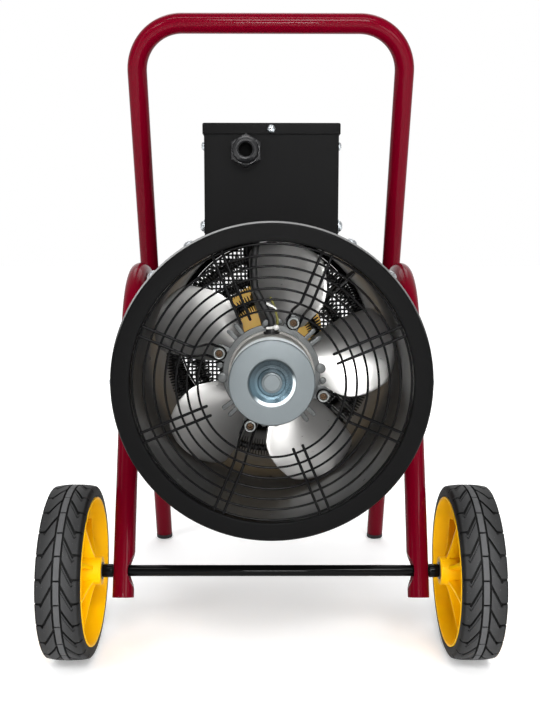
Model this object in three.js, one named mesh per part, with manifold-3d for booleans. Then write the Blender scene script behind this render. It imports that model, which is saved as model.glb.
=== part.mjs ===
// A forced air heater on two wheels: a round duct with an axial fan and ring heating elements, held
// between two bent side tubes, with a handle loop and a control box on top.
// Millimetres. +Z is up, -Y is the inlet side with the motor, +Y is the outlet, +X is to the right.
// Inside the root group the axle lies at y = 0, and the floor is z = 0.
import * as THREE from 'three';
import { mergeVertices } from 'three/addons/utils/BufferGeometryUtils.js';
import Module from 'manifold-3d';

const wasm = await Module();
wasm.setup();

// ---------------------------------------------------------------- driving dimensions
const DEG = Math.PI / 180;
const GAP = 0.3;                 // clearance between pieces that touch

// side frames and handle
const SIDE_X = 172;              // centre plane of each side frame
const TUBE_R = 12.5;
const TUBE_WALL = 2;
const TUBE_SIDES = 12;
const BORE_SIDES = 6;
const BEND_STEP = 17 * DEG;
const REAR_LEAN = 19.5 * DEG;    // rear leg leans towards the outlet as it rises
const FRONT_LEAN = 20.5 * DEG;   // front leg leans towards the inlet as it rises
const LEG_END_Z = 69;
const FOOT_Y = 421.5;            // where the front leg's centre line meets the floor
const APEX_BEND_R = 97;
const BAR_Z = 753.5;
const HANDLE_BEND_R = 60;
const HANDLE_END_Z = 215;
const HANDLE_BOLT_Z = [240, 312];
const FOOT_H = 8;
const FOOT_STEM = 22;
const BOLT_R = 4;
const BOLT_HEAD_R = 7.5;
const BOLT_HEAD_H = 5.3;
const HOLE_CLEAR = 0.4;
const HOLE_SIDES = 6;

// running gear
const AXLE_Z = 100;              // also the tyre's radius
const AXLE_R = 6.5;
const WHEEL_X = 229.4;
const TYRE_W = 50;
const TYRE_SHOULDER = 4;
const TYRE_CROWN = 2.5;
const HUB_R = 85.5;
const HUB_W = 46;
const HUB_WALL = 4.5;
const WEB_T = 5;
const RIB_T = 4;
const RIB_COUNT = 6;
const BOSS_R = 15.9;
const BOSS_IN = 32.4;            // from the wheel's middle to the boss's inner end
const BOSS_OUT = 17.6;
const BUSH_R = 10;
const CAP_R = 11;
const CAP_L = 6.5;
const SPACER_R = 8.2;
const WHEEL_SEGMENTS = 28;

// duct
const DUCT_Z = 342.6;
const SHEET = 1.5;
const DUCT_SEGMENTS = 36;
const INLET_Y = -141;            // face of the inlet ring
const OUTLET_Y = 346;            // face of the outlet ring
const CASING_R = SIDE_X - TUBE_R - GAP;
const RING_LIP = 0.8;            // how far the inlet ring stands out past the casing
const INLET_BORE_R = 140.4;
const OUTLET_BORE_R = 138;
const RING_LIP_L = 8;            // turned-in edge of each ring's bore
const SKIRT_L = 27;
const LINER_R = 146.5;

// guard and motor
const RING_RADII = [138.5, 127.3, 116.6, 105.9, 95, 84.2, 73.4];
const RING_WIRE_R = 1.3;
const WIRE_SIDES = 3;
const ROD_R = 1.7;
const ROD_SUNK = 0.45;           // how deep the rods are welded into the rings
const ROD_PAIR = 10.1;
const ROD_OUT_R = 139.1;
const FREE_ROD_IN_R = 69;
const KNEE_R = 83;
const GUARD_Y = INLET_Y + 4.5;
const GUARD_SEGMENTS = 22;
const MOTOR_SEGMENTS = 20;
const PAIR_ANGLE = 22.5 * DEG;
const LUG_PCR = 59.7;
const LUG_ANGLE = 67.5 * DEG;
const LUG_FACE_Y = -76;
const EYE_R = 7.9;
const EYE_T = 3;
const EYE_SIDES = 8;
const SLEEVE_R = 6.2;
const SLEEVE_NECK_R = 4.6;
const SLEEVE_HEAD_L = 4;
const LUG_BOLT_R = 3;
const LUG_NUT_R = 5.2;
const LUG_NUT_H = 4;
const MOTOR_FACE_Y = -129;
const MOTOR_CAP_R = 43.5;
const MOTOR_CAP_FILLET = 5;
const MOTOR_STEP_R = 46.2;
const MOTOR_PLATE_Y = -58.7;
const MOTOR_PLATE_T = 3;
const MOTOR_FRONT_Y = -24;
const BEARING_BOSS_R = 13;
const BEARING_BOSS_L = 4;
const RECESS_R = 24.8;
const RECESS_FLOOR_R = 22.9;
const RECESS_D = 3;
const CENTRE_BOSS = [[14.5, 1.2], [10.4, 2.6], [8.7, 3.4]];

// fan
const FAN_Y = 5;
const FAN_R = 140;
const FAN_HUB_R = 34;
const FAN_HUB_L = 30;
const SHAFT_R = 6;
const SHAFT_DEPTH = 40;          // how far the shaft reaches into the motor
const BLADE_COUNT = 5;
const BLADE_FIRST = 82 * DEG;
const BLADE_T = 1.6;
const BLADE_ROOT_HALF = 23;
const BLADE_MID_HALF = 41;
const BLADE_PITCH = 24 * DEG;
const BLADE_CAMBER = 5;

// heating elements
const ELEMENT_COUNT = 3;
const ELEMENT_R = 120;           // first and largest ring
const ELEMENT_R_STEP = 28;
const ELEMENT_Y = 105;
const ELEMENT_Y_STEP = 30;
const STEM_X = 30;
const STEM_X_STEP = 4;
const FIN_R = 10;
const STEM_R = 4.2;
const STEM_INSET = 6;            // stem axis to the end of the finned length
const STEM_TOP = 24;             // stem above the box floor
const COLLAR_R = 7.5;
const COLLAR_H = 5;
const BRACKET_T = 3;
const BRACKET_MARGIN = 6.5;
const BRACKET_ANGLE = 45 * DEG;

// motor lead
const LEAD_R = 3;
const LEAD_X = -14;               // where the lead passes between the two walls of the duct
const LEAD_Y = -70;
const LEAD_BEND_R = 22;
const LEAD_RISE_Y = 42;
const LEAD_END_ABOVE_FLOOR = 14;
const GROMMET_R = 7;
const GROMMET_H = 9;

// control box
const BOX_FRONT_Y = 8;
const BOX_W = 150;
const BOX_L = 210;
const BOX_TOP_Z = 612.5;
const LID_T = 1.2;
const LID_LIP = 12.2;
const FLOOR_ABOVE_DUCT = 3;
const FLOOR_T = 1.5;
const GLAND_X = -28.3;
const GLAND_Z = 582;
const GLAND_HEX_R = 18.6;
const GLAND_HEX_TURN = 15 * DEG;
const GLAND_HEX_L = 8;
const GLAND_THREAD_R = 12.4;
const GLAND_BORE_R = 6.9;
const GLAND_NUT_R = 14.6;
const GLAND_NUT_L = 13;
const LOCKNUT_R = 16;
const LOCKNUT_L = 5;
const KNOB_R = 19;
const KNOB_H = 15;
const KNOB_X = 36;
const KNOB_Z = 562;
const KNOB_SHAFT_R = 3;
const KNOB_SHAFT_L = 16;
const SWITCH_SIZE = 34;
const SWITCH_DEPTH = 30;
const THERMOSTAT_R = 18;
const THERMOSTAT_DEPTH = 22;
const BUTTON_Z = 546;
const BUTTON_R = 4.5;
const BUTTON_OUT = 6;
const BUTTON_STEM_R = 2.4;
const BUTTON_TRAVEL = 2.5;
const CUTOUT_R = 9;
const CUTOUT_DEPTH = 16;
const LAMP_Z = 584;
const LAMP_R = 6.5;
const LAMP_BODY_R = 4.8;
const LAMP_L = 18;

// ---------------------------------------------------------------- places that follow from them
const HOLE_FLATS = Math.cos(Math.PI / HOLE_SIDES);
const BOLT_HOLE_R = (BOLT_R + HOLE_CLEAR) / HOLE_FLATS;
const TUBE_BORE_R = TUBE_R - TUBE_WALL;
const FOOT_R = TUBE_R + 0.3;
const FOOT_TIP_Y = FOOT_Y + FOOT_R / Math.cos(FRONT_LEAN);
const MID_Y = (INLET_Y + FOOT_TIP_Y) / 2;
const rearLegY = (z) => (z - AXLE_Z) * Math.tan(REAR_LEAN);
const frontLegY = (z) => FOOT_Y - z * Math.tan(FRONT_LEAN);
const HANDLE_OFFSET = (2 * TUBE_R + GAP) / Math.cos(FRONT_LEAN);
const handleLegY = (z) => frontLegY(z) + HANDLE_OFFSET;
const LEG_ACROSS = new THREE.Vector3(0, Math.cos(FRONT_LEAN), Math.sin(FRONT_LEAN));
const LEG_FACE_X = SIDE_X + TUBE_R;
const CASING_BORE_R = CASING_R - SHEET;
const NUT_SEAT_X = CASING_BORE_R - BOLT_HEAD_R * Math.tan(Math.PI / DUCT_SEGMENTS) - GAP;
const SKIRT_R = CASING_BORE_R - GAP;
const EYE_BORE_R = (SLEEVE_NECK_R + GAP) / Math.cos(Math.PI / EYE_SIDES);
const CASING_FRONT_Y = INLET_Y + 2 * SHEET + GAP;
const CASING_BACK_Y = OUTLET_Y - 2 * SHEET - GAP;
const LINER_BORE_R = LINER_R - SHEET;
const LINER_FRONT_Y = INLET_Y + SHEET + GAP;
const LINER_BACK_Y = OUTLET_Y - SHEET - GAP;
const PLATE_BACK_Y = MOTOR_PLATE_Y + MOTOR_PLATE_T;
const PLATE_BORE_R = MOTOR_CAP_R - 2 * SHEET;
const BOX_BACK_Y = BOX_FRONT_Y + BOX_L;
const BOX_MID_Y = BOX_FRONT_Y + BOX_L / 2;
const FLOOR_Z = DUCT_Z + CASING_R + FLOOR_ABOVE_DUCT;
const FLOOR_TOP_Z = FLOOR_Z + FLOOR_T;
const BODY_TOP_Z = BOX_TOP_Z - LID_T - GAP;
const LEAD_GAP_R = (LINER_R + CASING_BORE_R) / 2;
const ELEMENTS = Array.from({ length: ELEMENT_COUNT }, (_, i) => ({
    radius: ELEMENT_R - i * ELEMENT_R_STEP,
    y: ELEMENT_Y + i * ELEMENT_Y_STEP,
    stemX: STEM_X - i * STEM_X_STEP,
}));

// ---------------------------------------------------------------- helpers
const X_AXIS = new THREE.Vector3(1, 0, 0);
const Y_AXIS = new THREE.Vector3(0, 1, 0);
const vec = (x, y, z) => new THREE.Vector3(x, y, z);

/** Signed volume of a triangle mesh: positive when its faces point out. */
function signedVolume(geometry) {
    const points = geometry.attributes.position;
    const index = geometry.index;
    const a = new THREE.Vector3();
    const b = new THREE.Vector3();
    const c = new THREE.Vector3();
    let total = 0;
    for (let i = 0; i < index.count; i += 3) {
        a.fromBufferAttribute(points, index.getX(i));
        b.fromBufferAttribute(points, index.getX(i + 1));
        c.fromBufferAttribute(points, index.getX(i + 2));
        total += a.dot(b.cross(c)) / 6;
    }
    return total;
}

/** The geometry with its shared vertices merged and its faces pointing out. */
function closed(geometry) {
    const bare = geometry.clone();
    bare.deleteAttribute('normal');
    bare.deleteAttribute('uv');
    const merged = mergeVertices(bare, 1e-4);
    const corners = [];
    const index = merged.index;
    for (let i = 0; i < index.count; i += 3) {
        const [p, q, r] = [index.getX(i), index.getX(i + 1), index.getX(i + 2)];
        if (p !== q && q !== r && r !== p) {
            corners.push(p, q, r);
        }
    }
    merged.setIndex(corners);
    if (signedVolume(merged) < 0) {
        for (let i = 0; i < corners.length; i += 3) {
            [corners[i], corners[i + 1]] = [corners[i + 1], corners[i]];
        }
        merged.setIndex(corners);
    }
    return merged;
}

function toSolid(geometry) {
    const mesh = closed(geometry);
    return new wasm.Manifold(new wasm.Mesh({
        numProp: 3,
        vertProperties: Float32Array.from(mesh.attributes.position.array),
        triVerts: Uint32Array.from(mesh.index.array),
    }));
}

function fromSolid(solid) {
    const mesh = solid.getMesh();
    const geometry = new THREE.BufferGeometry();
    geometry.setAttribute('position', new THREE.BufferAttribute(Float32Array.from(mesh.vertProperties), 3));
    geometry.setIndex(Array.from(mesh.triVerts));
    return geometry;
}

/** One geometry joined from the first list, less every geometry of the second. */
function shaped(joined, removed = []) {
    let solid = toSolid(joined[0]);
    for (const extra of joined.slice(1)) {
        solid = solid.add(toSolid(extra));
    }
    for (const tool of removed) {
        solid = solid.subtract(toSolid(tool));
    }
    return fromSolid(solid);
}

/** What two geometries share. */
function shared(first, second) {
    return fromSolid(toSolid(first).intersect(toSolid(second)));
}

/** A round bar between two points. */
function rod(radius, from, to, sides = 12) {
    const along = to.clone().sub(from);
    const geometry = new THREE.CylinderGeometry(radius, radius, along.length(), sides);
    geometry.applyQuaternion(new THREE.Quaternion().setFromUnitVectors(Y_AXIS, along.clone().normalize()));
    const middle = from.clone().add(to).multiplyScalar(0.5);
    return geometry.translate(middle.x, middle.y, middle.z);
}

/** A box given by its lowest and highest corners. */
function block(low, high) {
    const geometry = new THREE.BoxGeometry(high.x - low.x, high.y - low.y, high.z - low.z);
    return geometry.translate((low.x + high.x) / 2, (low.y + high.y) / 2, (low.z + high.z) / 2);
}

/** A turned piece about Y from [radius, y] pairs; a profile off the axis closes on itself. */
function turned(profile, segments) {
    const points = profile.map(([radius, along]) => new THREE.Vector2(radius, along));
    if (profile[0][0] > 0) {
        points.push(points[0].clone());
    }
    return new THREE.LatheGeometry(points, segments);
}

/** A path through listed stations, with one extrusion step between neighbours. */
class StationPath extends THREE.Curve {
    constructor(stations) {
        super();
        this.stations = stations;
    }

    getUtoTmapping(u) {
        return u;
    }

    getPoint(t, target = new THREE.Vector3()) {
        const place = Math.min(Math.max(t, 0), 1) * (this.stations.length - 1);
        const first = Math.min(Math.floor(place), this.stations.length - 2);
        return target.lerpVectors(this.stations[first], this.stations[first + 1], place - first);
    }
}

/** Stations of a line through corners that are rounded to centre-line radii. */
function roundedRoute(corners, radii, step) {
    const stations = [corners[0].clone()];
    for (let i = 1; i < corners.length - 1; i += 1) {
        const back = corners[i - 1].clone().sub(corners[i]).normalize();
        const ahead = corners[i + 1].clone().sub(corners[i]).normalize();
        const turn = Math.PI - back.angleTo(ahead);
        const reach = radii[i - 1] * Math.tan(turn / 2);
        const inward = back.clone().add(ahead).normalize();
        const centre = corners[i].clone().addScaledVector(inward, radii[i - 1] / Math.cos(turn / 2));
        const start = corners[i].clone().addScaledVector(back, reach).sub(centre);
        const end = corners[i].clone().addScaledVector(ahead, reach).sub(centre);
        const axis = start.clone().cross(end).normalize();
        const steps = Math.max(2, Math.round(turn / step));
        for (let k = 0; k <= steps; k += 1) {
            stations.push(start.clone().applyAxisAngle(axis, (turn * k) / steps).add(centre));
        }
    }
    stations.push(corners[corners.length - 1].clone());
    return stations;
}

function roundSection(radius, sides) {
    const points = [];
    for (let i = 0; i < sides; i += 1) {
        const angle = ((i + 0.5) / sides) * 2 * Math.PI;
        points.push(new THREE.Vector2(radius * Math.cos(angle), radius * Math.sin(angle)));
    }
    return new THREE.Shape(points);
}

function alongRoute(stations, radius, sides) {
    return new THREE.ExtrudeGeometry(roundSection(radius, sides), {
        steps: stations.length - 1,
        extrudePath: new StationPath(stations),
    });
}

/** The same route with both ends pushed out, so that a bore cuts clean through. */
function lengthened(stations, extra) {
    const longer = stations.map((station) => station.clone());
    const last = longer.length - 1;
    longer[0].add(stations[0].clone().sub(stations[1]).setLength(extra));
    longer[last].add(stations[last].clone().sub(stations[last - 1]).setLength(extra));
    return longer;
}

/** A ring of wire about Y. */
function wireRing(radius, wire, y, segments, sides = WIRE_SIDES) {
    const ring = new THREE.TorusGeometry(radius, wire, sides, segments);
    ring.rotateX(Math.PI / 2);
    return ring.translate(0, y, 0);
}

function material(color, roughness, metalness) {
    return new THREE.MeshStandardMaterial({ color, roughness, metalness });
}

const CRIMSON = () => material(0x8a0a30, 0.25, 0.1);
const BLACK_COAT = () => material(0x1b1b1b, 0.5, 0.1);
const BLACK_GLOSS = () => material(0x0c0c0c, 0.2, 0.2);
const BLACK_PLASTIC = () => material(0x141414, 0.5, 0);
const BLACK_RUBBER = () => material(0x18181a, 0.85, 0);
const TYRE_RUBBER = () => material(0x35363a, 0.8, 0);
const YELLOW = () => material(0xf5b40a, 0.35, 0);
const ZINC = () => material(0xa9b7bf, 0.3, 0.9);
const GALVANISED = () => material(0x8d949a, 0.45, 0.8);
const BRIGHT_SHEET = () => material(0xc6c8ca, 0.25, 0.95);
const DARK_STEEL = () => material(0x26262a, 0.4, 0.7);

const heater = new THREE.Group();
heater.position.y = -MID_Y;

/** Adds one named sub-part to a group. */
function piece(group, name, geometry, finish) {
    const mesh = new THREE.Mesh(closed(geometry), finish);
    mesh.name = name;
    group.add(mesh);
    return mesh;
}

// ---------------------------------------------------------------- frame
const frame = new THREE.Group();
heater.add(frame);

const apexZ = (FOOT_Y + AXLE_Z * Math.tan(REAR_LEAN)) / (Math.tan(REAR_LEAN) + Math.tan(FRONT_LEAN));

/** One side: rear leg, top bend and front leg in one tube, with its bolt and axle holes. */
function sideFrame(x) {
    const cornerPoints = [
        vec(x, rearLegY(LEG_END_Z), LEG_END_Z),
        vec(x, rearLegY(apexZ), apexZ),
        vec(x, frontLegY(-FOOT_H), -FOOT_H),
    ];
    const route = roundedRoute(cornerPoints, [APEX_BEND_R], BEND_STEP);
    const reach = 2 * TUBE_R;
    const across = (radius, y, z) => rod(radius, vec(x - reach, y, z), vec(x + reach, y, z), HOLE_SIDES);
    const holes = [
        alongRoute(lengthened(route, 5), TUBE_BORE_R, BORE_SIDES),
        across((AXLE_R + HOLE_CLEAR) / HOLE_FLATS, 0, AXLE_Z),
        across(BOLT_HOLE_R, rearLegY(DUCT_Z), DUCT_Z),
        across(BOLT_HOLE_R, frontLegY(DUCT_Z), DUCT_Z),
        block(vec(x - reach, FOOT_Y - 4 * reach, -4 * FOOT_H), vec(x + reach, FOOT_Y + 4 * reach, FOOT_H)),
    ];
    for (const z of HANDLE_BOLT_Z) {
        const middle = vec(x, frontLegY(z), z);
        const from = middle.clone().addScaledVector(LEG_ACROSS, -reach);
        const to = middle.clone().addScaledVector(LEG_ACROSS, reach);
        holes.push(rod(BOLT_HOLE_R, from, to, HOLE_SIDES));
    }
    return shaped([alongRoute(route, TUBE_R, TUBE_SIDES)], holes);
}

/** The handle: an upturned U whose ends lie along the outlet side of the front legs. */
function handleLoop() {
    const cornerPoints = [
        vec(-SIDE_X, handleLegY(HANDLE_END_Z), HANDLE_END_Z),
        vec(-SIDE_X, handleLegY(BAR_Z), BAR_Z),
        vec(SIDE_X, handleLegY(BAR_Z), BAR_Z),
        vec(SIDE_X, handleLegY(HANDLE_END_Z), HANDLE_END_Z),
    ];
    const route = roundedRoute(cornerPoints, [HANDLE_BEND_R, HANDLE_BEND_R], BEND_STEP);
    const holes = [alongRoute(lengthened(route, 5), TUBE_BORE_R, BORE_SIDES)];
    for (const x of [-SIDE_X, SIDE_X]) {
        for (const z of HANDLE_BOLT_Z) {
            const middle = vec(x, frontLegY(z), z);
            const to = middle.clone().addScaledVector(LEG_ACROSS, 6 * TUBE_R);
            holes.push(rod(BOLT_HOLE_R, middle, to, HOLE_SIDES));
        }
    }
    return shaped([alongRoute(route, TUBE_R, TUBE_SIDES)], holes);
}

/** A rubber plug: a flat foot under the cut tube and a stem inside it. */
function rubberFoot(x) {
    const along = (z) => vec(x, frontLegY(z), z);
    const pad = shared(
        rod(FOOT_R, along(-4 * FOOT_H), along(4 * FOOT_H), TUBE_SIDES),
        block(
            vec(x - 3 * TUBE_R, FOOT_Y - 6 * TUBE_R, 0),
            vec(x + 3 * TUBE_R, FOOT_Y + 6 * TUBE_R, FOOT_H - GAP),
        ),
    );
    const stemR = (TUBE_BORE_R - GAP) * Math.cos(Math.PI / BORE_SIDES);
    const stem = rod(stemR, along(FOOT_H / 2), along(FOOT_H + FOOT_STEM), 10);
    return shaped([pad, stem]);
}

/** A hex bolt with its washer and nut: the head at from, the nut with its near face at to. */
function boltWithNut(from, to, nutH = BOLT_HEAD_H) {
    const along = to.clone().sub(from).normalize();
    const headEnd = from.clone().addScaledVector(along, -BOLT_HEAD_H);
    const nutEnd = to.clone().addScaledVector(along, nutH);
    const tip = nutEnd.clone().addScaledVector(along, 1.5);
    return shaped([
        rod(BOLT_R, headEnd.clone().addScaledVector(along, 1), tip, 8),
        rod(BOLT_HEAD_R, headEnd, from, 6),
        rod(BOLT_HEAD_R, to, nutEnd, 6),
    ]);
}

for (const [side, sign] of [['left', -1], ['right', 1]]) {
    const x = sign * SIDE_X;
    piece(frame, `side_frame_${side}`, sideFrame(x), CRIMSON());
    piece(frame, `foot_${side}`, rubberFoot(x), BLACK_RUBBER());
    const legs = [['rear', rearLegY(DUCT_Z)], ['front', frontLegY(DUCT_Z)]];
    for (const [leg, y] of legs) {
        const head = vec(sign * (LEG_FACE_X + GAP), y, DUCT_Z);
        const nut = vec(sign * NUT_SEAT_X, y, DUCT_Z);
        piece(frame, `duct_bolt_${side}_${leg}`, boltWithNut(head, nut), GALVANISED());
    }
    for (const [place, z] of [['lower', HANDLE_BOLT_Z[0]], ['upper', HANDLE_BOLT_Z[1]]]) {
        const middle = vec(x, frontLegY(z), z);
        const head = middle.clone().addScaledVector(LEG_ACROSS, -(TUBE_R + GAP));
        const nut = middle.clone().addScaledVector(LEG_ACROSS, 3 * TUBE_R + 2 * GAP);
        piece(frame, `handle_bolt_${side}_${place}`, boltWithNut(head, nut), GALVANISED());
    }
}
piece(frame, 'handle_loop', handleLoop(), CRIMSON());

// ---------------------------------------------------------------- running gear
const gear = new THREE.Group();
gear.position.z = AXLE_Z;
heater.add(gear);

const BOSS_IN_X = WHEEL_X - BOSS_IN;
const BOSS_OUT_X = WHEEL_X + BOSS_OUT;
const AXLE_END_X = BOSS_OUT_X + CAP_L - 2;
piece(gear, 'axle', rod(AXLE_R, vec(-AXLE_END_X, 0, 0), vec(AXLE_END_X, 0, 0), 16), BLACK_GLOSS());

/** Yellow plastic hub about Y, y = 0 at the wheel's middle and +y outwards. */
function wheelHub() {
    const half = HUB_W / 2;
    const rimIn = HUB_R - HUB_WALL;
    const boreR = BUSH_R + GAP;
    const body = turned([
        [boreR, -BOSS_IN], [BOSS_R, -BOSS_IN], [BOSS_R, -WEB_T / 2], [rimIn, -WEB_T / 2], [rimIn, -half],
        [HUB_R, -half], [HUB_R, half], [rimIn, half], [rimIn, WEB_T / 2], [BOSS_R, WEB_T / 2],
        [BOSS_R, BOSS_OUT], [boreR, BOSS_OUT],
    ], WHEEL_SEGMENTS);
    const ribs = [];
    for (let i = 0; i < RIB_COUNT; i += 1) {
        const rib = new THREE.ExtrudeGeometry(new THREE.Shape([
            new THREE.Vector2(BOSS_R - 1, -BOSS_IN + 10), new THREE.Vector2(rimIn + 1, -WEB_T - 3),
            new THREE.Vector2(rimIn + 1, WEB_T + 3), new THREE.Vector2(BOSS_R - 1, BOSS_OUT - 4),
        ]), { depth: RIB_T, bevelEnabled: false });
        rib.translate(0, 0, -RIB_T / 2);
        rib.rotateY((i / RIB_COUNT) * 2 * Math.PI + Math.PI / 2);
        ribs.push(rib);
    }
    return shaped([body, ...ribs]);
}

/** Tyre with a crowned tread. */
function tyre() {
    const half = TYRE_W / 2;
    const seat = HUB_R + GAP;
    const outer = [
        [AXLE_Z - TYRE_SHOULDER - TYRE_CROWN, half], [AXLE_Z - TYRE_CROWN, half - TYRE_SHOULDER],
        [AXLE_Z, half * 0.4], [AXLE_Z, -half * 0.4],
        [AXLE_Z - TYRE_CROWN, -half + TYRE_SHOULDER], [AXLE_Z - TYRE_SHOULDER - TYRE_CROWN, -half],
    ];
    return turned([[seat, -half + 1.5], [seat, half - 1.5], ...outer], WHEEL_SEGMENTS);
}

for (const [side, sign] of [['left', -1], ['right', 1]]) {
    const wheel = new THREE.Group();
    wheel.position.x = sign * WHEEL_X;
    wheel.rotation.z = (-sign * Math.PI) / 2;
    gear.add(wheel);
    piece(wheel, `tyre_${side}`, tyre(), TYRE_RUBBER());
    piece(wheel, `wheel_hub_${side}`, wheelHub(), YELLOW());
    const bushBoreR = (AXLE_R + HOLE_CLEAR) / Math.cos(Math.PI / 16);
    const bush = [[bushBoreR, -BOSS_IN], [BUSH_R, -BOSS_IN], [BUSH_R, BOSS_OUT], [bushBoreR, BOSS_OUT]];
    piece(wheel, `wheel_bush_${side}`, turned(bush, 16), GALVANISED());
    const spacerEnd = -(WHEEL_X - LEG_FACE_X) + GAP;
    const spacer = [
        [bushBoreR, spacerEnd], [SPACER_R, spacerEnd], [SPACER_R, -BOSS_IN - GAP], [bushBoreR, -BOSS_IN - GAP],
    ];
    piece(wheel, `axle_spacer_${side}`, turned(spacer, 16), BLACK_GLOSS());
    const capIn = BOSS_OUT + GAP;
    const cap = [
        [0, AXLE_END_X - WHEEL_X + GAP], [bushBoreR, AXLE_END_X - WHEEL_X + GAP], [bushBoreR, capIn],
        [CAP_R, capIn], [CAP_R, capIn + CAP_L / 2], [CAP_R * 0.7, capIn + CAP_L], [0, capIn + CAP_L],
    ];
    piece(wheel, `axle_cap_${side}`, turned(cap, 16), BLACK_PLASTIC());
}

// ---------------------------------------------------------------- duct
const duct = new THREE.Group();
duct.position.z = DUCT_Z;
heater.add(duct);

/** Straight holes up through the duct's top for the element stems. */
function stemHoles(low, high) {
    return ELEMENTS.flatMap(({ y, stemX }) => [-stemX, stemX].map(
        (x) => rod(STEM_R + 1.3, vec(x, y, low), vec(x, y, high), 6),
    ));
}

function ductCasing() {
    const shell = turned([
        [CASING_R, CASING_FRONT_Y], [CASING_R, CASING_BACK_Y],
        [CASING_BORE_R, CASING_BACK_Y], [CASING_BORE_R, CASING_FRONT_Y],
    ], DUCT_SEGMENTS);
    const boltLine = (y) => rod(BOLT_HOLE_R, vec(-2 * CASING_R, y, 0), vec(2 * CASING_R, y, 0), HOLE_SIDES);
    const leadSlot = block(
        vec(LEAD_X - LEAD_R - 1, LEAD_RISE_Y - LEAD_BEND_R, LINER_R),
        vec(LEAD_X + LEAD_R + 1, LEAD_RISE_Y + LEAD_R + 1, 2 * CASING_R),
    );
    return shaped([shell], [
        boltLine(rearLegY(DUCT_Z)), boltLine(frontLegY(DUCT_Z)), leadSlot, ...stemHoles(LINER_R, 2 * CASING_R),
    ]);
}

function ductLiner() {
    const shell = turned([
        [LINER_R, LINER_FRONT_Y], [LINER_R, LINER_BACK_Y],
        [LINER_BORE_R, LINER_BACK_Y], [LINER_BORE_R, LINER_FRONT_Y],
    ], DUCT_SEGMENTS);
    const leadSlot = block(
        vec(LEAD_X - LEAD_R - 1, LEAD_Y - LEAD_R - 1, LINER_BORE_R / 2),
        vec(LEAD_X + LEAD_R + 2, LEAD_Y + LEAD_BEND_R + LEAD_R, LEAD_GAP_R),
    );
    return shaped([shell], [leadSlot, ...stemHoles(LINER_BORE_R / 2, CASING_R)]);
}

/** An end ring: flat face, turned-in bore edge, lip over the casing and skirt inside it. */
function endRing(faceY, inward, boreR, lip) {
    const at = (depth) => faceY + inward * depth;
    const edge = CASING_R + lip;
    return turned([
        [boreR, at(RING_LIP_L)], [boreR, at(0)], [edge - 1.2, at(0)], [edge, at(1.2)],
        [edge, at(2 * SHEET)], [SKIRT_R, at(2 * SHEET)], [SKIRT_R, at(SKIRT_L)],
        [SKIRT_R - SHEET, at(SKIRT_L)], [SKIRT_R - SHEET, at(SHEET)],
        [boreR + SHEET, at(SHEET)], [boreR + SHEET, at(RING_LIP_L)],
    ], DUCT_SEGMENTS);
}

const GRILLE_PITCH = 60;
const GRILLE_WIRE = 2.4;
const GRILLE_Y = OUTLET_Y - 4;
const BAFFLE_R = 78;

/** Outlet mesh: straight wires both ways inside a round wire, with a round baffle plate on its middle. */
function outletGrille() {
    const ringR = OUTLET_BORE_R * Math.cos(Math.PI / DUCT_SEGMENTS) - GAP - GRILLE_WIRE / 2;
    const half = GRILLE_WIRE / 2;
    const baffle = turned([[0, -half], [BAFFLE_R, -half], [BAFFLE_R, half], [0, half]], 20);
    const parts = [wireRing(ringR, half, GRILLE_Y, GUARD_SEGMENTS), baffle.translate(0, GRILLE_Y, 0)];
    const count = Math.floor(ringR / GRILLE_PITCH);
    for (let i = -count; i <= count; i += 1) {
        const offset = i * GRILLE_PITCH;
        const reach = Math.sqrt(ringR * ringR - offset * offset);
        const [low, high] = [offset - half, offset + half];
        parts.push(block(vec(-reach, GRILLE_Y - half, low), vec(reach, GRILLE_Y + half, high)));
        parts.push(block(vec(low, GRILLE_Y - half, -reach), vec(high, GRILLE_Y + half, reach)));
    }
    return shaped(parts);
}

piece(duct, 'duct_casing', ductCasing(), BLACK_COAT());
piece(duct, 'duct_liner', ductLiner(), DARK_STEEL());
piece(duct, 'inlet_ring', endRing(INLET_Y, 1, INLET_BORE_R, RING_LIP), BLACK_COAT());
piece(duct, 'outlet_ring', endRing(OUTLET_Y, -1, OUTLET_BORE_R, RING_LIP), BLACK_COAT());
piece(duct, 'outlet_grille', outletGrille(), GALVANISED());

// ---------------------------------------------------------------- wire guard
const polar = (radius, angle, y) => vec(radius * Math.cos(angle), y, radius * Math.sin(angle));

/** Rings, four pairs of straight rods and four pairs that step back to an eye round a motor bolt. */
function wireGuard() {
    const rodY = GUARD_Y - RING_WIRE_R * Math.sin(2 * Math.PI / WIRE_SIDES) - ROD_R * Math.SQRT1_2 + ROD_SUNK;
    const eyeY = LUG_FACE_Y + SLEEVE_HEAD_L + GAP + EYE_T / 2;
    const parts = RING_RADII.map((radius) => wireRing(radius, RING_WIRE_R, GUARD_Y, GUARD_SEGMENTS));
    for (let i = 0; i < 4; i += 1) {
        const quarter = (i * Math.PI) / 2;
        for (const side of [-1, 1]) {
            const aside = (angle) => polar((side * ROD_PAIR) / 2, angle + Math.PI / 2, 0);
            const free = PAIR_ANGLE + quarter;
            const outFree = polar(ROD_OUT_R, free, rodY).add(aside(free));
            parts.push(alongRoute([outFree, polar(FREE_ROD_IN_R, free, rodY).add(aside(free))], ROD_R, 4));
            const held = LUG_ANGLE + quarter;
            const knee = polar(KNEE_R, held, rodY).add(aside(held));
            const stop = polar(LUG_PCR + EYE_R * 0.75, held, eyeY).add(aside(held));
            parts.push(alongRoute([polar(ROD_OUT_R, held, rodY).add(aside(held)), knee, stop], ROD_R, 4));
        }
        const eye = turned([
            [EYE_BORE_R, -EYE_T / 2], [EYE_R, -EYE_T / 2],
            [EYE_R, EYE_T / 2], [EYE_BORE_R, EYE_T / 2],
        ], EYE_SIDES);
        const centre = polar(LUG_PCR, LUG_ANGLE + quarter, eyeY);
        parts.push(eye.translate(centre.x, centre.y, centre.z));
    }
    return shaped(parts);
}

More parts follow.
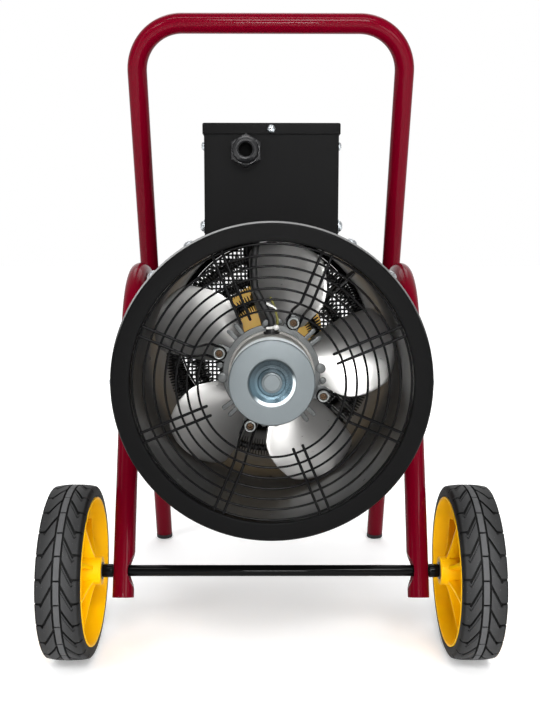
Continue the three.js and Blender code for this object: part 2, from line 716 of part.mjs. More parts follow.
piece(duct, 'wire_guard', wireGuard(), BLACK_GLOSS());

// ---------------------------------------------------------------- motor
/** Drawn rear cap: a cup with a rounded edge, a round recess and a stepped centre boss. */
function motorCap() {
    const face = MOTOR_FACE_Y;
    const floor = face + RECESS_D;
    const back = MOTOR_PLATE_Y - GAP;
    const inner = MOTOR_CAP_R - SHEET;
    const steps = [];
    for (const [radius, height] of [...CENTRE_BOSS].reverse()) {
        steps.push([radius, floor - height]);
    }
    const profile = [
        [0, floor - CENTRE_BOSS[2][1]], steps[0], [CENTRE_BOSS[1][0], floor - CENTRE_BOSS[1][1]],
        [CENTRE_BOSS[1][0], floor - CENTRE_BOSS[0][1]], [CENTRE_BOSS[0][0], floor - CENTRE_BOSS[0][1]],
        [CENTRE_BOSS[0][0], floor], [RECESS_FLOOR_R, floor], [RECESS_R, face],
        [MOTOR_CAP_R - MOTOR_CAP_FILLET, face],
        [MOTOR_CAP_R - MOTOR_CAP_FILLET * 0.3, face + MOTOR_CAP_FILLET * 0.3],
        [MOTOR_CAP_R, face + MOTOR_CAP_FILLET], [MOTOR_CAP_R, back - 2 * SHEET],
        [MOTOR_STEP_R, back - 2 * SHEET], [MOTOR_STEP_R, back], [inner, back], [inner, face + MOTOR_CAP_FILLET],
        [RECESS_R, floor + SHEET], [0, floor + SHEET],
    ];
    return turned(profile, MOTOR_SEGMENTS);
}

/** Mounting plate: a disc with four rounded lobes, bolt holes, cooling slots and the motor's bore. */
function motorPlate() {
    const disc = new THREE.CylinderGeometry(MOTOR_STEP_R + 5, MOTOR_STEP_R + 5, MOTOR_PLATE_T, MOTOR_SEGMENTS);
    const parts = [disc];
    const holes = [rod(PLATE_BORE_R, vec(0, -MOTOR_PLATE_T, 0), vec(0, MOTOR_PLATE_T, 0), MOTOR_SEGMENTS)];
    for (let i = 0; i < 4; i += 1) {
        const angle = LUG_ANGLE + (i * Math.PI) / 2;
        const lobeR = SLEEVE_R + 2;
        const inner = polar(MOTOR_STEP_R, angle, 0);
        const arm = new THREE.BoxGeometry(LUG_PCR - MOTOR_STEP_R, MOTOR_PLATE_T, 2 * lobeR);
        arm.translate((LUG_PCR - MOTOR_STEP_R) / 2, 0, 0).rotateY(-angle).translate(inner.x, 0, inner.z);
        parts.push(arm);
        const tip = polar(LUG_PCR, angle, 0);
        const half = MOTOR_PLATE_T / 2;
        parts.push(rod(lobeR, tip.clone().setY(-half), tip.clone().setY(half), 14));
        const [low, high] = [tip.clone().setY(-MOTOR_PLATE_T), tip.clone().setY(MOTOR_PLATE_T)];
        holes.push(rod(LUG_BOLT_R + HOLE_CLEAR, low, high, 8));
    }
    return shaped(parts, holes).translate(0, MOTOR_PLATE_Y + MOTOR_PLATE_T / 2, 0);
}

/** Stator and front end bell as one turned body, with the front bearing's bore for the shaft. */
function motorBody() {
    const stack = (PLATE_BORE_R - GAP) * Math.cos(Math.PI / MOTOR_SEGMENTS);
    const bellFace = PLATE_BACK_Y + GAP;
    const bore = (SHAFT_R + HOLE_CLEAR) / Math.cos(Math.PI / 12);
    const noseY = MOTOR_FRONT_Y + BEARING_BOSS_L;
    const boreEnd = noseY - SHAFT_DEPTH - 1;
    const stackEnd = MOTOR_FACE_Y + MOTOR_CAP_FILLET + 2 * SHEET;
    return turned([
        [0, stackEnd], [stack, stackEnd], [stack, bellFace], [MOTOR_STEP_R, bellFace],
        [MOTOR_STEP_R, MOTOR_FRONT_Y - 6], [MOTOR_STEP_R - 6, MOTOR_FRONT_Y], [BEARING_BOSS_R, MOTOR_FRONT_Y],
        [BEARING_BOSS_R, noseY], [bore, noseY], [bore, boreEnd], [0, boreEnd],
    ], MOTOR_SEGMENTS);
}

/** A bolt in its sleeve: socket head in the sleeve's mouth, neck through the guard's eye, nut behind. */
function motorBolt() {
    const head = LUG_FACE_Y;
    const seat = MOTOR_PLATE_Y - GAP;
    const nut = PLATE_BACK_Y + GAP;
    return turned([
        [0, head + 2], [SLEEVE_R - 2.4, head + 2], [SLEEVE_R - 2, head], [SLEEVE_R, head],
        [SLEEVE_R, head + SLEEVE_HEAD_L], [SLEEVE_NECK_R, head + SLEEVE_HEAD_L], [SLEEVE_NECK_R, seat],
        [LUG_BOLT_R, seat], [LUG_BOLT_R, nut], [LUG_NUT_R, nut], [LUG_NUT_R, nut + LUG_NUT_H],
        [0, nut + LUG_NUT_H],
    ], 8);
}

piece(duct, 'motor_cap', motorCap(), ZINC());
piece(duct, 'motor_plate', motorPlate(), GALVANISED());
piece(duct, 'motor_body', motorBody(), GALVANISED());
for (let i = 0; i < 4; i += 1) {
    const bolt = piece(duct, `motor_bolt_${i + 1}`, motorBolt(), ZINC());
    bolt.position.copy(polar(LUG_PCR, LUG_ANGLE + (i * Math.PI) / 2, 0));
}

// ---------------------------------------------------------------- fan
const fan = new THREE.Group();
fan.position.y = FAN_Y;
duct.add(fan);

function fanHub() {
    const front = -FAN_HUB_L / 2;
    const shaftEnd = MOTOR_FRONT_Y + BEARING_BOSS_L - SHAFT_DEPTH - FAN_Y;
    return turned([
        [0, shaftEnd], [SHAFT_R, shaftEnd], [SHAFT_R, front], [FAN_HUB_R - 3, front], [FAN_HUB_R, front + 3],
        [FAN_HUB_R, -front - 3], [FAN_HUB_R - 3, -front], [0, -front],
    ], 24);
}

/** One paddle blade along +X: widest past the middle, round at the tip, pitched and cambered. */
function fanBlade() {
    const alongCount = 8;
    const acrossCount = 4;
    const rootR = (FAN_HUB_R + GAP) / Math.cos(12 * DEG);
    const positions = [];
    const corners = [];
    const place = (i, j, face) => {
        const u = i / alongCount;
        const v = (j / acrossCount) * 2 - 1;
        const growth = Math.sin((Math.min(u * 1.35, 1) * Math.PI) / 2);
        const swell = BLADE_ROOT_HALF + (BLADE_MID_HALF - BLADE_ROOT_HALF) * growth;
        const tipRound = Math.sqrt(Math.max(1 - Math.pow(Math.max((u - 0.55) / 0.45, 0), 2.6), 0));
        const half = Math.max(swell * tipRound, BLADE_ROOT_HALF * 0.35);
        const side = v * half;
        const hubEdge = Math.sqrt(rootR * rootR - Math.min(side * side, rootR * rootR * 0.7));
        const start = i === 0 ? hubEdge + BLADE_T * 0.2 : rootR;
        const tip = Math.sqrt(FAN_R * FAN_R - half * half);
        const radial = start + (tip - start) * u;
        const depth = side * Math.tan(BLADE_PITCH) + BLADE_CAMBER * (v * v - 0.5);
        return [radial, depth + (face * BLADE_T) / 2, side];
    };
    for (const face of [-1, 1]) {
        for (let i = 0; i <= alongCount; i += 1) {
            for (let j = 0; j <= acrossCount; j += 1) {
                positions.push(...place(i, j, face));
            }
        }
    }
    const row = acrossCount + 1;
    const sheet = row * (alongCount + 1);
    const id = (face, i, j) => face * sheet + i * row + j;
    const quad = (a, b, c, d) => corners.push(a, b, c, a, c, d);
    for (let i = 0; i < alongCount; i += 1) {
        for (let j = 0; j < acrossCount; j += 1) {
            quad(id(0, i, j), id(0, i + 1, j), id(0, i + 1, j + 1), id(0, i, j + 1));
            quad(id(1, i, j), id(1, i, j + 1), id(1, i + 1, j + 1), id(1, i + 1, j));
        }
        quad(id(0, i, 0), id(1, i, 0), id(1, i + 1, 0), id(0, i + 1, 0));
        const last = acrossCount;
        quad(id(0, i, last), id(0, i + 1, last), id(1, i + 1, last), id(1, i, last));
    }
    for (let j = 0; j < acrossCount; j += 1) {
        quad(id(0, 0, j), id(0, 0, j + 1), id(1, 0, j + 1), id(1, 0, j));
        quad(id(0, alongCount, j), id(1, alongCount, j), id(1, alongCount, j + 1), id(0, alongCount, j + 1));
    }
    const geometry = new THREE.BufferGeometry();
    geometry.setAttribute('position', new THREE.Float32BufferAttribute(positions, 3));
    geometry.setIndex(corners);
    return geometry;
}

piece(fan, 'fan_hub', fanHub(), BRIGHT_SHEET());
for (let i = 0; i < BLADE_COUNT; i += 1) {
    const blade = piece(fan, `fan_blade_${i + 1}`, fanBlade(), BRIGHT_SHEET());
    blade.rotation.y = -(BLADE_FIRST + (i / BLADE_COUNT) * 2 * Math.PI);
}

// ---------------------------------------------------------------- heating elements
/** Centre line of one element's ring, open at the top. */
function elementRoute({ radius, y, stemX }) {
    const opening = Math.asin((stemX - STEM_INSET) / radius);
    const sweep = 2 * Math.PI - 2 * opening;
    const steps = Math.round(radius / 6);
    const stations = [];
    for (let i = 0; i <= steps; i += 1) {
        stations.push(polar(radius, Math.PI / 2 + opening + (sweep * i) / steps, y));
    }
    return stations;
}

/** A ring of finned tube with two bare stems that rise into the box. */
function heatingElement(element) {
    const { radius, y, stemX } = element;
    const floor = FLOOR_TOP_Z - DUCT_Z;
    const parts = [alongRoute(elementRoute(element), FIN_R, 6)];
    for (const x of [-stemX, stemX]) {
        const low = Math.sqrt(radius * radius - x * x);
        parts.push(rod(STEM_R, vec(x, y, low), vec(x, y, floor + STEM_TOP), 6));
        parts.push(rod(COLLAR_R, vec(x, y, floor + GAP), vec(x, y, floor + GAP + COLLAR_H), 6));
    }
    return shaped(parts);
}

/** An upright plate from the liner's wall across the rings, with a hole round each of them. */
function elementBracket() {
    const outer = ELEMENTS[0];
    const inner = ELEMENTS[ELEMENTS.length - 1];
    const wall = LINER_BORE_R * Math.cos(Math.PI / DUCT_SEGMENTS) - GAP;
    const margin = FIN_R + BRACKET_MARGIN;
    const outline = new THREE.Shape([
        new THREE.Vector2(wall, outer.y - margin),
        new THREE.Vector2(wall, outer.y + margin),
        new THREE.Vector2(inner.radius + FIN_R, inner.y + margin),
        new THREE.Vector2(inner.radius - margin, inner.y + margin),
        new THREE.Vector2(inner.radius - margin, inner.y - margin),
        new THREE.Vector2(outer.radius - margin, outer.y - margin),
    ]);
    const plate = new THREE.ExtrudeGeometry(outline, { depth: BRACKET_T, bevelEnabled: false });
    plate.translate(0, 0, -BRACKET_T / 2).rotateY(-BRACKET_ANGLE);
    return shaped([plate], ELEMENTS.map((element) => alongRoute(elementRoute(element), FIN_R + 2 * GAP, 6)));
}

ELEMENTS.forEach((element, i) => {
    piece(duct, `heating_element_${i + 1}`, heatingElement(element), DARK_STEEL());
});
piece(duct, 'element_bracket', elementBracket(), GALVANISED());

// ---------------------------------------------------------------- motor lead
const leadStartR = MOTOR_CAP_R + GROMMET_H + 2 * GAP;

/** From the motor up through the liner, back between the two walls and up into the box. */
function motorLead() {
    const cornerPoints = [
        vec(0, LEAD_Y, leadStartR),
        vec(0, LEAD_Y, leadStartR + 2 * LEAD_R),
        vec(LEAD_X, LEAD_Y, LEAD_GAP_R),
        vec(LEAD_X, LEAD_RISE_Y, LEAD_GAP_R),
        vec(LEAD_X, LEAD_RISE_Y, FLOOR_TOP_Z - DUCT_Z + LEAD_END_ABOVE_FLOOR),
    ];
    return alongRoute(roundedRoute(cornerPoints, [LEAD_BEND_R, LEAD_BEND_R, LEAD_BEND_R], 18 * DEG), LEAD_R, 8);
}

function grommet() {
    return turned([
        [0, 0], [GROMMET_R, 0], [GROMMET_R, GROMMET_H * 0.3], [GROMMET_R * 0.75, GROMMET_H], [0, GROMMET_H],
    ], 12).rotateX(Math.PI / 2).translate(0, LEAD_Y, MOTOR_CAP_R + GAP);
}

piece(duct, 'motor_lead', motorLead(), BLACK_RUBBER());
piece(duct, 'motor_grommet', grommet(), BLACK_RUBBER());

// ---------------------------------------------------------------- control box
const box = new THREE.Group();
heater.add(box);

/** A hole through the front or back wall of the box. */
const wallHole = (radius, x, wallY, z) => rod(
    radius / Math.cos(Math.PI / 12), vec(x, wallY - 3 * SHEET, z), vec(x, wallY + 3 * SHEET, z), 12,
);

/** Four walls that stand on the round casing, and a floor just above it. */
function boxBody() {
    const half = BOX_W / 2;
    const wallFoot = DUCT_Z + CASING_R / 2;
    const outer = block(vec(-half, BOX_FRONT_Y, wallFoot), vec(half, BOX_BACK_Y, BODY_TOP_Z));
    const inside = (low, high) => block(
        vec(-half + SHEET, BOX_FRONT_Y + SHEET, low), vec(half - SHEET, BOX_BACK_Y - SHEET, high),
    );
    const saddleR = CASING_R + GAP;
    const saddle = new THREE.CylinderGeometry(saddleR, saddleR, 3 * BOX_L, DUCT_SEGMENTS);
    saddle.translate(0, BOX_MID_Y, DUCT_Z);
    const stems = stemHoles(FLOOR_Z - 5, FLOOR_TOP_Z + 5);
    const leadHole = block(
        vec(LEAD_X - LEAD_R - 1, LEAD_RISE_Y - LEAD_BEND_R, FLOOR_Z - 5),
        vec(LEAD_X + LEAD_R + 1, LEAD_RISE_Y + LEAD_R + 1, FLOOR_TOP_Z + 5),
    );
    return shaped([outer], [
        inside(FLOOR_TOP_Z, BOX_TOP_Z + 10), inside(wallFoot - 10, FLOOR_Z), saddle, ...stems, leadHole,
        wallHole(GLAND_THREAD_R + HOLE_CLEAR, GLAND_X, BOX_FRONT_Y, GLAND_Z),
        wallHole(KNOB_SHAFT_R + 1, -KNOB_X, BOX_BACK_Y, KNOB_Z),
        wallHole(KNOB_SHAFT_R + 1, KNOB_X, BOX_BACK_Y, KNOB_Z),
        wallHole(BUTTON_R + HOLE_CLEAR, 0, BOX_BACK_Y, BUTTON_Z),
        wallHole(LAMP_BODY_R + HOLE_CLEAR, 0, BOX_BACK_Y, LAMP_Z),
    ]);
}

/** Lid: a tray turned over, its lips outside the walls. */
function boxLid() {
    const half = BOX_W / 2 + HOLE_CLEAR;
    const front = BOX_FRONT_Y - HOLE_CLEAR;
    const back = BOX_BACK_Y + HOLE_CLEAR;
    const outer = block(
        vec(-half - LID_T, front - LID_T, BOX_TOP_Z - LID_LIP), vec(half + LID_T, back + LID_T, BOX_TOP_Z),
    );
    const inner = block(vec(-half, front, BOX_TOP_Z - LID_LIP - 5), vec(half, back, BOX_TOP_Z - LID_T));
    return shaped([outer], [inner]);
}

piece(box, 'box_body', boxBody(), BLACK_COAT());
piece(box, 'box_lid', boxLid(), BLACK_COAT());

/** Gland body about Y: hex collar outside the wall, thread through it and locknut inside. */
function glandBody() {
    const wall = BOX_FRONT_Y;
    const hexBack = wall - GAP;
    const inside = wall + SHEET + GAP;
    const at = (y) => vec(GLAND_X, y, GLAND_Z);
    const hex = new THREE.CylinderGeometry(GLAND_HEX_R, GLAND_HEX_R, GLAND_HEX_L, 6);
    hex.rotateY(GLAND_HEX_TURN).translate(GLAND_X, hexBack - GLAND_HEX_L / 2, GLAND_Z);
    return shaped([
        hex,
        rod(GLAND_THREAD_R, at(hexBack - GLAND_HEX_L / 2), at(inside + LOCKNUT_L + 3), 16),
        rod(LOCKNUT_R, at(inside), at(inside + LOCKNUT_L), 6),
    ], [rod(GLAND_BORE_R, at(hexBack - 3 * GLAND_HEX_L), at(inside + 3 * LOCKNUT_L), 12)]);
}

function glandNut() {
    const back = BOX_FRONT_Y - 2 * GAP - GLAND_HEX_L;
    const front = back - GLAND_NUT_L;
    return turned([
        [GLAND_BORE_R, front + 1], [GLAND_BORE_R + 1.5, front], [GLAND_NUT_R - 4, front],
        [GLAND_NUT_R - 1, front + 4], [GLAND_NUT_R, back], [GLAND_BORE_R, back],
    ], 16).translate(GLAND_X, 0, GLAND_Z);
}

piece(box, 'gland_body', glandBody(), BLACK_PLASTIC());
piece(box, 'gland_nut', glandNut(), BLACK_PLASTIC());

/** Knob with a raised grip bar, and its shaft through the wall. */
function knob(x) {
    const face = BOX_BACK_Y + GAP;
    const at = (y) => vec(x, y, KNOB_Z);
    const skirt = new THREE.CylinderGeometry(KNOB_R - 2, KNOB_R, KNOB_H / 2, 20);
    skirt.translate(x, face + KNOB_H / 4, KNOB_Z);
    const grip = block(
        vec(x - KNOB_R / 4, face + 1, KNOB_Z - KNOB_R + 3),
        vec(x + KNOB_R / 4, face + KNOB_H, KNOB_Z + KNOB_R - 3),
    );
    return shaped([skirt, grip, rod(KNOB_SHAFT_R, at(face + 1), at(BOX_BACK_Y - KNOB_SHAFT_L), 12)]);
}

/** A switch or sensor body behind the wall, bored for a shaft or stem. */
function behindWall(outer, x, z, shaftR) {
    const wall = BOX_BACK_Y;
    const bore = (shaftR + HOLE_CLEAR) / Math.cos(Math.PI / 12);
    return shaped([outer], [rod(bore, vec(x, wall - KNOB_SHAFT_L - 1, z), vec(x, wall, z), 12)]);
}

const INSIDE_Y = BOX_BACK_Y - SHEET - GAP;
const switchBlock = block(
    vec(-KNOB_X - SWITCH_SIZE / 2, INSIDE_Y - SWITCH_DEPTH, KNOB_Z - SWITCH_SIZE / 2),
    vec(-KNOB_X + SWITCH_SIZE / 2, INSIDE_Y, KNOB_Z + SWITCH_SIZE / 2),
);
const thermostatDrum = rod(
    THERMOSTAT_R, vec(KNOB_X, INSIDE_Y - THERMOSTAT_DEPTH, KNOB_Z), vec(KNOB_X, INSIDE_Y, KNOB_Z), 20,
);
piece(box, 'mode_knob', knob(-KNOB_X), BLACK_PLASTIC());
piece(box, 'mode_switch', behindWall(switchBlock, -KNOB_X, KNOB_Z, KNOB_SHAFT_R), BLACK_PLASTIC());
piece(box, 'thermostat_knob', knob(KNOB_X), BLACK_PLASTIC());
piece(box, 'thermostat', behindWall(thermostatDrum, KNOB_X, KNOB_Z, KNOB_SHAFT_R), GALVANISED());

/** Reset button: a cap outside and a thinner stem into the thermal cut-out. */
function resetButton() {
    const at = (y) => vec(0, y, BUTTON_Z);
    const capBack = BOX_BACK_Y - SHEET + BUTTON_TRAVEL / 2;
    return shaped([
        rod(BUTTON_R, at(capBack), at(BOX_BACK_Y + BUTTON_OUT), 14),
        rod(BUTTON_STEM_R, at(BOX_BACK_Y - KNOB_SHAFT_L + 2 * BUTTON_TRAVEL), at(capBack + 1), 12),
    ]);
}

const CUTOUT_FACE_Y = BOX_BACK_Y - SHEET - BUTTON_TRAVEL + BUTTON_TRAVEL / 2 - GAP;
const cutoutDrum = rod(CUTOUT_R, vec(0, CUTOUT_FACE_Y - CUTOUT_DEPTH, BUTTON_Z), vec(0, CUTOUT_FACE_Y, BUTTON_Z), 16);
piece(box, 'reset_button', resetButton(), material(0xb01818, 0.4, 0));
piece(box, 'thermal_cutout', behindWall(cutoutDrum, 0, BUTTON_Z, BUTTON_STEM_R), BLACK_PLASTIC());

/** Pilot lamp: a bezel outside the wall and a body through it. */
function pilotLamp() {
    const at = (y) => vec(0, y, LAMP_Z);
    const face = BOX_BACK_Y + GAP;
    return shaped([rod(LAMP_R, at(face), at(face + 4), 16), rod(LAMP_BODY_R, at(face + 1), at(face - LAMP_L), 12)]);
}

piece(box, 'pilot_lamp', pilotLamp(), material(0xff7a1a, 0.3, 0));

export default heater;
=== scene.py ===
"""Forced air heater on two wheels: round duct with an axial fan and finned ring elements, wire guard, bent tube
frame with a handle loop, and a control box. Every new piece is a surface worked out with numpy in millimetres, in
the heater's own frame (axle at y = 0, floor at z = 0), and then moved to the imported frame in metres."""

import math

import bpy
import numpy as np
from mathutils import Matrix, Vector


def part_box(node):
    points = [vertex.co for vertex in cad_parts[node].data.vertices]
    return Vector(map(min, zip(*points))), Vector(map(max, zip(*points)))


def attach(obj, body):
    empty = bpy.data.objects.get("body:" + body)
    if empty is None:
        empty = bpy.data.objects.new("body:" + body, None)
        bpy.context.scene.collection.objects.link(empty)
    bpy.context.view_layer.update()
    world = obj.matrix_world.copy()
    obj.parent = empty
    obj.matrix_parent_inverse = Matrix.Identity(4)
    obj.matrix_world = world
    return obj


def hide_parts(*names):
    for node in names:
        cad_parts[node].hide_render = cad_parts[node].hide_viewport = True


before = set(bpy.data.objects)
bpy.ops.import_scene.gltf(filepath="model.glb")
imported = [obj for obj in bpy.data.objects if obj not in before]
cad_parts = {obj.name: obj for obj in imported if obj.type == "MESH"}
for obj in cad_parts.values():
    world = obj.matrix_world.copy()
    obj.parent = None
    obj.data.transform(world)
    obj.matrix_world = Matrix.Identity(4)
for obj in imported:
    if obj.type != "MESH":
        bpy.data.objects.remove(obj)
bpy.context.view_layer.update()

bl_info = {
    "name": "Forced Air Heater",
    "version": (1, 0, 0),
    "blender": (4, 5, 0),
    "location": "View3D > Sidebar > Heater",
    "description": "Builds the visible pieces and finishes of a wheeled forced air heater round its packed frame",
    "category": "Add Mesh",
}

# ---------------------------------------------------------------- sizes shared with the solids, in millimetres
SIDE_X = 172.0
REAR_LEAN = math.radians(19.5)
FRONT_LEAN = math.radians(20.5)
LEG_END_Z = 71.3
FOOT_Y = 421.5
FOOT_H = 8.0
APEX_BEND = 97.0
BAR_Z = 753.5
HANDLE_BEND = 60.0
HANDLE_END_Z = 215.0
HANDLE_BOLT_Z = (240.0, 312.0)
HANDLE_STEP = 25.3
BOLT_SEAT = 12.8
DUCT_NUT_X = 156.5
TUBE_SIDES = 48
DENT_EDGE = 0.35
AXLE_Z = 100.0
AXLE_R = 6.5
WHEEL_X = 229.4
HUB_R = 85.5
ROD_END = 251.0
DUCT_Z = 342.6
INLET_Y = -141.0
OUTLET_Y = 346.0
CASING_R = 159.2
LINER_R = 146.5
INLET_BORE = 140.4
OUTLET_BORE = 138.0
RING_R = 160.0
SADDLE_R = 159.6
SHEET = 1.5
TOP_SCREW = 88.0
GAP = 0.3
RINGS = (138.5, 127.3, 116.6, 105.9, 95.0, 84.2, 73.4)
GUARD_Y = -136.5
PAIR = 10.1
GUARD_R = 139.1
HEM_R = 136.0
LUG_RADIUS = 59.7
LUG_ANGLE = math.radians(67.5)
LUG_FACE_Y = -76.0
CAP_FACE_Y = -129.0
CAP_R = 43.5
RECESS = 6.6
PLATE_Y = -58.7
FAN_Y = 5.0
FAN_R = 140.0
FAN_HUB_R = 34.0
BLADE_FOOT_R = 34.9
ELEMENTS = ((120.0, 105.0, 30.0), (92.0, 135.0, 26.0), (64.0, 165.0, 22.0))
BOX_FRONT = 8.0
BOX_BACK = 218.0
BOX_HALF = 75.0
BOX_TOP = 612.5
LID_OVER = 1.6
LID_SCREW_Z = 605.6
SADDLE_SCREW_Z = 499.5
FLOOR_TOP = DUCT_Z + CASING_R + 4.5
GLAND = (-28.3, 582.0)
KNOB_X = 36.0
KNOB_Z = 562.0
BUTTON_Z = 546.0
LAMP_Z = 584.0
LEAD_X = -14.0
LEAD_Y = -70.0
SHIFT_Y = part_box("inlet_ring")[0].y * 1000 - INLET_Y
UP = np.array([0.0, 0.0, 1.0])
ALONG = np.array([0.0, 1.0, 0.0])
SIDES = (("left", -1), ("right", 1))


def front_leg_y(z):
    """The front leg's line, 421.5 - z tan 20.5."""
    return FOOT_Y - z * math.tan(FRONT_LEAN)


def rear_leg_y(z):
    """The rear leg's line, (z - 100) tan 19.5."""
    return (z - AXLE_Z) * math.tan(REAR_LEAN)


# ---------------------------------------------------------------- surfaces
def unit(v):
    """v / |v| along the last axis."""
    v = np.asarray(v, float)
    return v / np.linalg.norm(v, axis=-1, keepdims=True)


def skin(points, closed=False, start_tip=None, end_tip=None):
    """Faces of a grid of points whose rows are rings: a quad between each pair of neighbouring rings, the last ring
    joined to the first where the grid is closed, and a fan of triangles from the first or last ring to a tip."""
    n, m = points.shape[:2]
    rows = np.arange(n if closed else n - 1)[:, None]
    cols = np.arange(m)
    here, there, after = rows * m, (rows + 1) % n * m, (cols + 1) % m
    faces = [np.stack([here + cols, there + cols, there + after, here + after], -1).reshape(-1, 4)]
    verts = points.reshape(-1, 3)
    for tip, row, order in ((start_tip, 0, 1), (end_tip, n - 1, -1)):
        if tip is not None:
            edge = (row * m + cols, row * m + after)[::order]
            faces.append(np.stack([*edge, np.full(m, len(verts))], -1))
            verts = np.vstack([verts, tip])
    return outward((verts, faces))


def outward(form):
    """The closed surface with its faces turned out: the sum over triangles of a . (b x c) / 6 is its volume."""
    verts, faces = form
    total = 0.0
    for f in faces:
        a = verts[f[:, 0]]
        for k in range(1, f.shape[1] - 1):
            total += np.einsum("ij,ij->", a, np.cross(verts[f[:, k]], verts[f[:, k + 1]]))
    return (verts, [f[:, ::-1] for f in faces]) if total < 0 else form


def turns(count):
    """Count even angles round a circle."""
    return np.arange(count) * 2 * np.pi / count


def circle(count):
    """Cosines and sines of count even angles."""
    return np.cos(turns(count)), np.sin(turns(count))


def rings(radius, height, t):
    """Points (r cos t, height, r sin t), one ring to a row."""
    return np.stack(np.broadcast_arrays(radius * np.cos(t), height, radius * np.sin(t)), -1)


def fluted(rows, count, flutes):
    """Rings whose radius is r + g cos(flutes t) at height h, for each row (r, h, g)."""
    r, h, g = np.array(rows, float).T[:, :, None]
    t = turns(count)
    return rings(r + g * np.cos(flutes * t), h, t)


def turned(profile, count=64, closed=False):
    """Surface of revolution about Y: (r cos t, along, r sin t) for each profile point (r, along). A profile that
    isn't closed starts and ends on the axis."""
    radius, along = np.asarray(profile, float).T
    if closed:
        return skin(rings(radius[:, None], along[:, None], turns(count)), True)
    middle = rings(radius[1:-1, None], along[1:-1, None], turns(count))
    return skin(middle, False, [0, along[0], 0], [0, along[-1], 0])


def rounded(corners, radii, steps=6):
    """A line whose inner corners become arcs: centre + (sin((1-k)a) p + sin(k a) q) / sin a, which turns evenly
    from one straight to the next."""
    corners = np.asarray(corners, float)
    if np.isscalar(radii):
        radii = [radii] * (len(corners) - 2)
    runs = [corners[:1]]
    k = np.linspace(0, 1, steps + 1)[:, None]
    for before, corner, after, radius in zip(corners, corners[1:], corners[2:], radii):
        back, ahead = unit(before - corner), unit(after - corner)
        turn = math.pi - math.acos(np.clip(back @ ahead, -1, 1))
        if radius <= 0 or turn < 1e-4:
            runs.append(corner[None])
            continue
        centre = corner + unit(back + ahead) * radius / math.cos(turn / 2)
        reach = radius * math.tan(turn / 2)
        p, q = corner + back * reach - centre, corner + ahead * reach - centre
        runs.append(centre + (np.sin((1 - k) * turn) * p + np.sin(k * turn) * q) / math.sin(turn))
    return np.concatenate(runs + [corners[-1:]])


def rounded_loop(corners, radii, steps=6):
    """The same for a closed loop of corners."""
    corners = np.asarray(corners, float)
    middle = (corners[0] + corners[-1]) / 2
    return rounded(np.vstack([middle, corners, middle]), radii, steps)[:-1]


def ring_form(corners, radii, steps=4, count=48):
    """Turned ring: a closed section (r, along) with rounded corners."""
    return turned(rounded_loop(corners, radii, steps), count, closed=True)


def solid_form(corners, radii, steps=5, count=48):
    """Turned solid: a section (r, along) from the axis and back to it, with rounded corners between."""
    return turned(rounded(corners, radii, steps), count)


def denser(path, spacing):
    """The path with stations added along its straights, at even steps of arc length."""
    run = np.concatenate([[0], np.cumsum(np.linalg.norm(np.diff(path, axis=0), axis=1))])
    marks = np.unique(np.round(np.concatenate([run, np.arange(0, run[-1], spacing)]), 4))
    marks = marks[np.concatenate([[True], np.diff(marks) > 0.05])]
    return np.stack([np.interp(marks, run, path[:, k]) for k in range(3)], -1)


def frames(path, across, closed=False):
    """Two directions square to the path at each station: path direction x across, and that x path direction."""
    ahead = np.roll(path, -1, 0) - np.roll(path, 1, 0) if closed else np.gradient(path, axis=0)
    ahead = unit(ahead)
    side = unit(np.cross(ahead, across))
    return ahead, side, np.cross(side, ahead)


def section(side, up, count):
    """A unit circle cos t side + sin t up at each station."""
    c, s = circle(count)
    return c[:, None] * side[:, None] + s[:, None] * up[:, None]


def swept(path, radius, sides=16, across=UP, closed=False, round_ends=False):
    """A round bar along a path: centre + radius (cos t side + sin t up) at each station. A round end adds
    stations at radius sin k beyond the end with the radius times cos k."""
    path = np.asarray(path, float)
    radius = np.full(len(path), float(radius))
    tips = [None, None] if closed else [path[0], path[-1]]
    if round_ends:
        k = np.radians([75.0, 50.0, 25.0])[:, None]
        first, last = unit(path[0] - path[1]), unit(path[-1] - path[-2])
        tips = [path[0] + first * radius[0], path[-1] + last * radius[-1]]
        head = path[0] + first * radius[0] * np.sin(k)
        tail = path[-1] + last * radius[-1] * np.sin(k[::-1])
        shrink = np.cos(k[:, 0])
        radius = np.concatenate([radius[0] * shrink, radius, radius[-1] * shrink[::-1]])
        path = np.concatenate([head, path, tail])
    _, side, up = frames(path, across, closed)
    return skin(path[:, None] + radius[:, None, None] * section(side, up, sides), closed, *tips)


def moved(form, offset):
    """The form shifted by an offset."""
    return form[0] + np.asarray(offset, float), form[1]


def aimed(form, direction, at):
    """The form turned so that its own Y lies along direction, then moved to at."""
    up = unit(direction)
    helper = UP if abs(up[2]) < 0.9 else np.array([1.0, 0.0, 0.0])
    side = unit(np.cross(up, helper))
    basis = np.stack([side, up, np.cross(side, up)])
    return form[0] @ basis + np.asarray(at, float), form[1]


def spun(form, angle):
    """The form turned about Y, from +X towards +Z."""
    c, s = math.cos(angle), math.sin(angle)
    x, y, z = form[0].T
    return np.stack([c * x - s * z, y, s * x + c * z], -1), form[1]


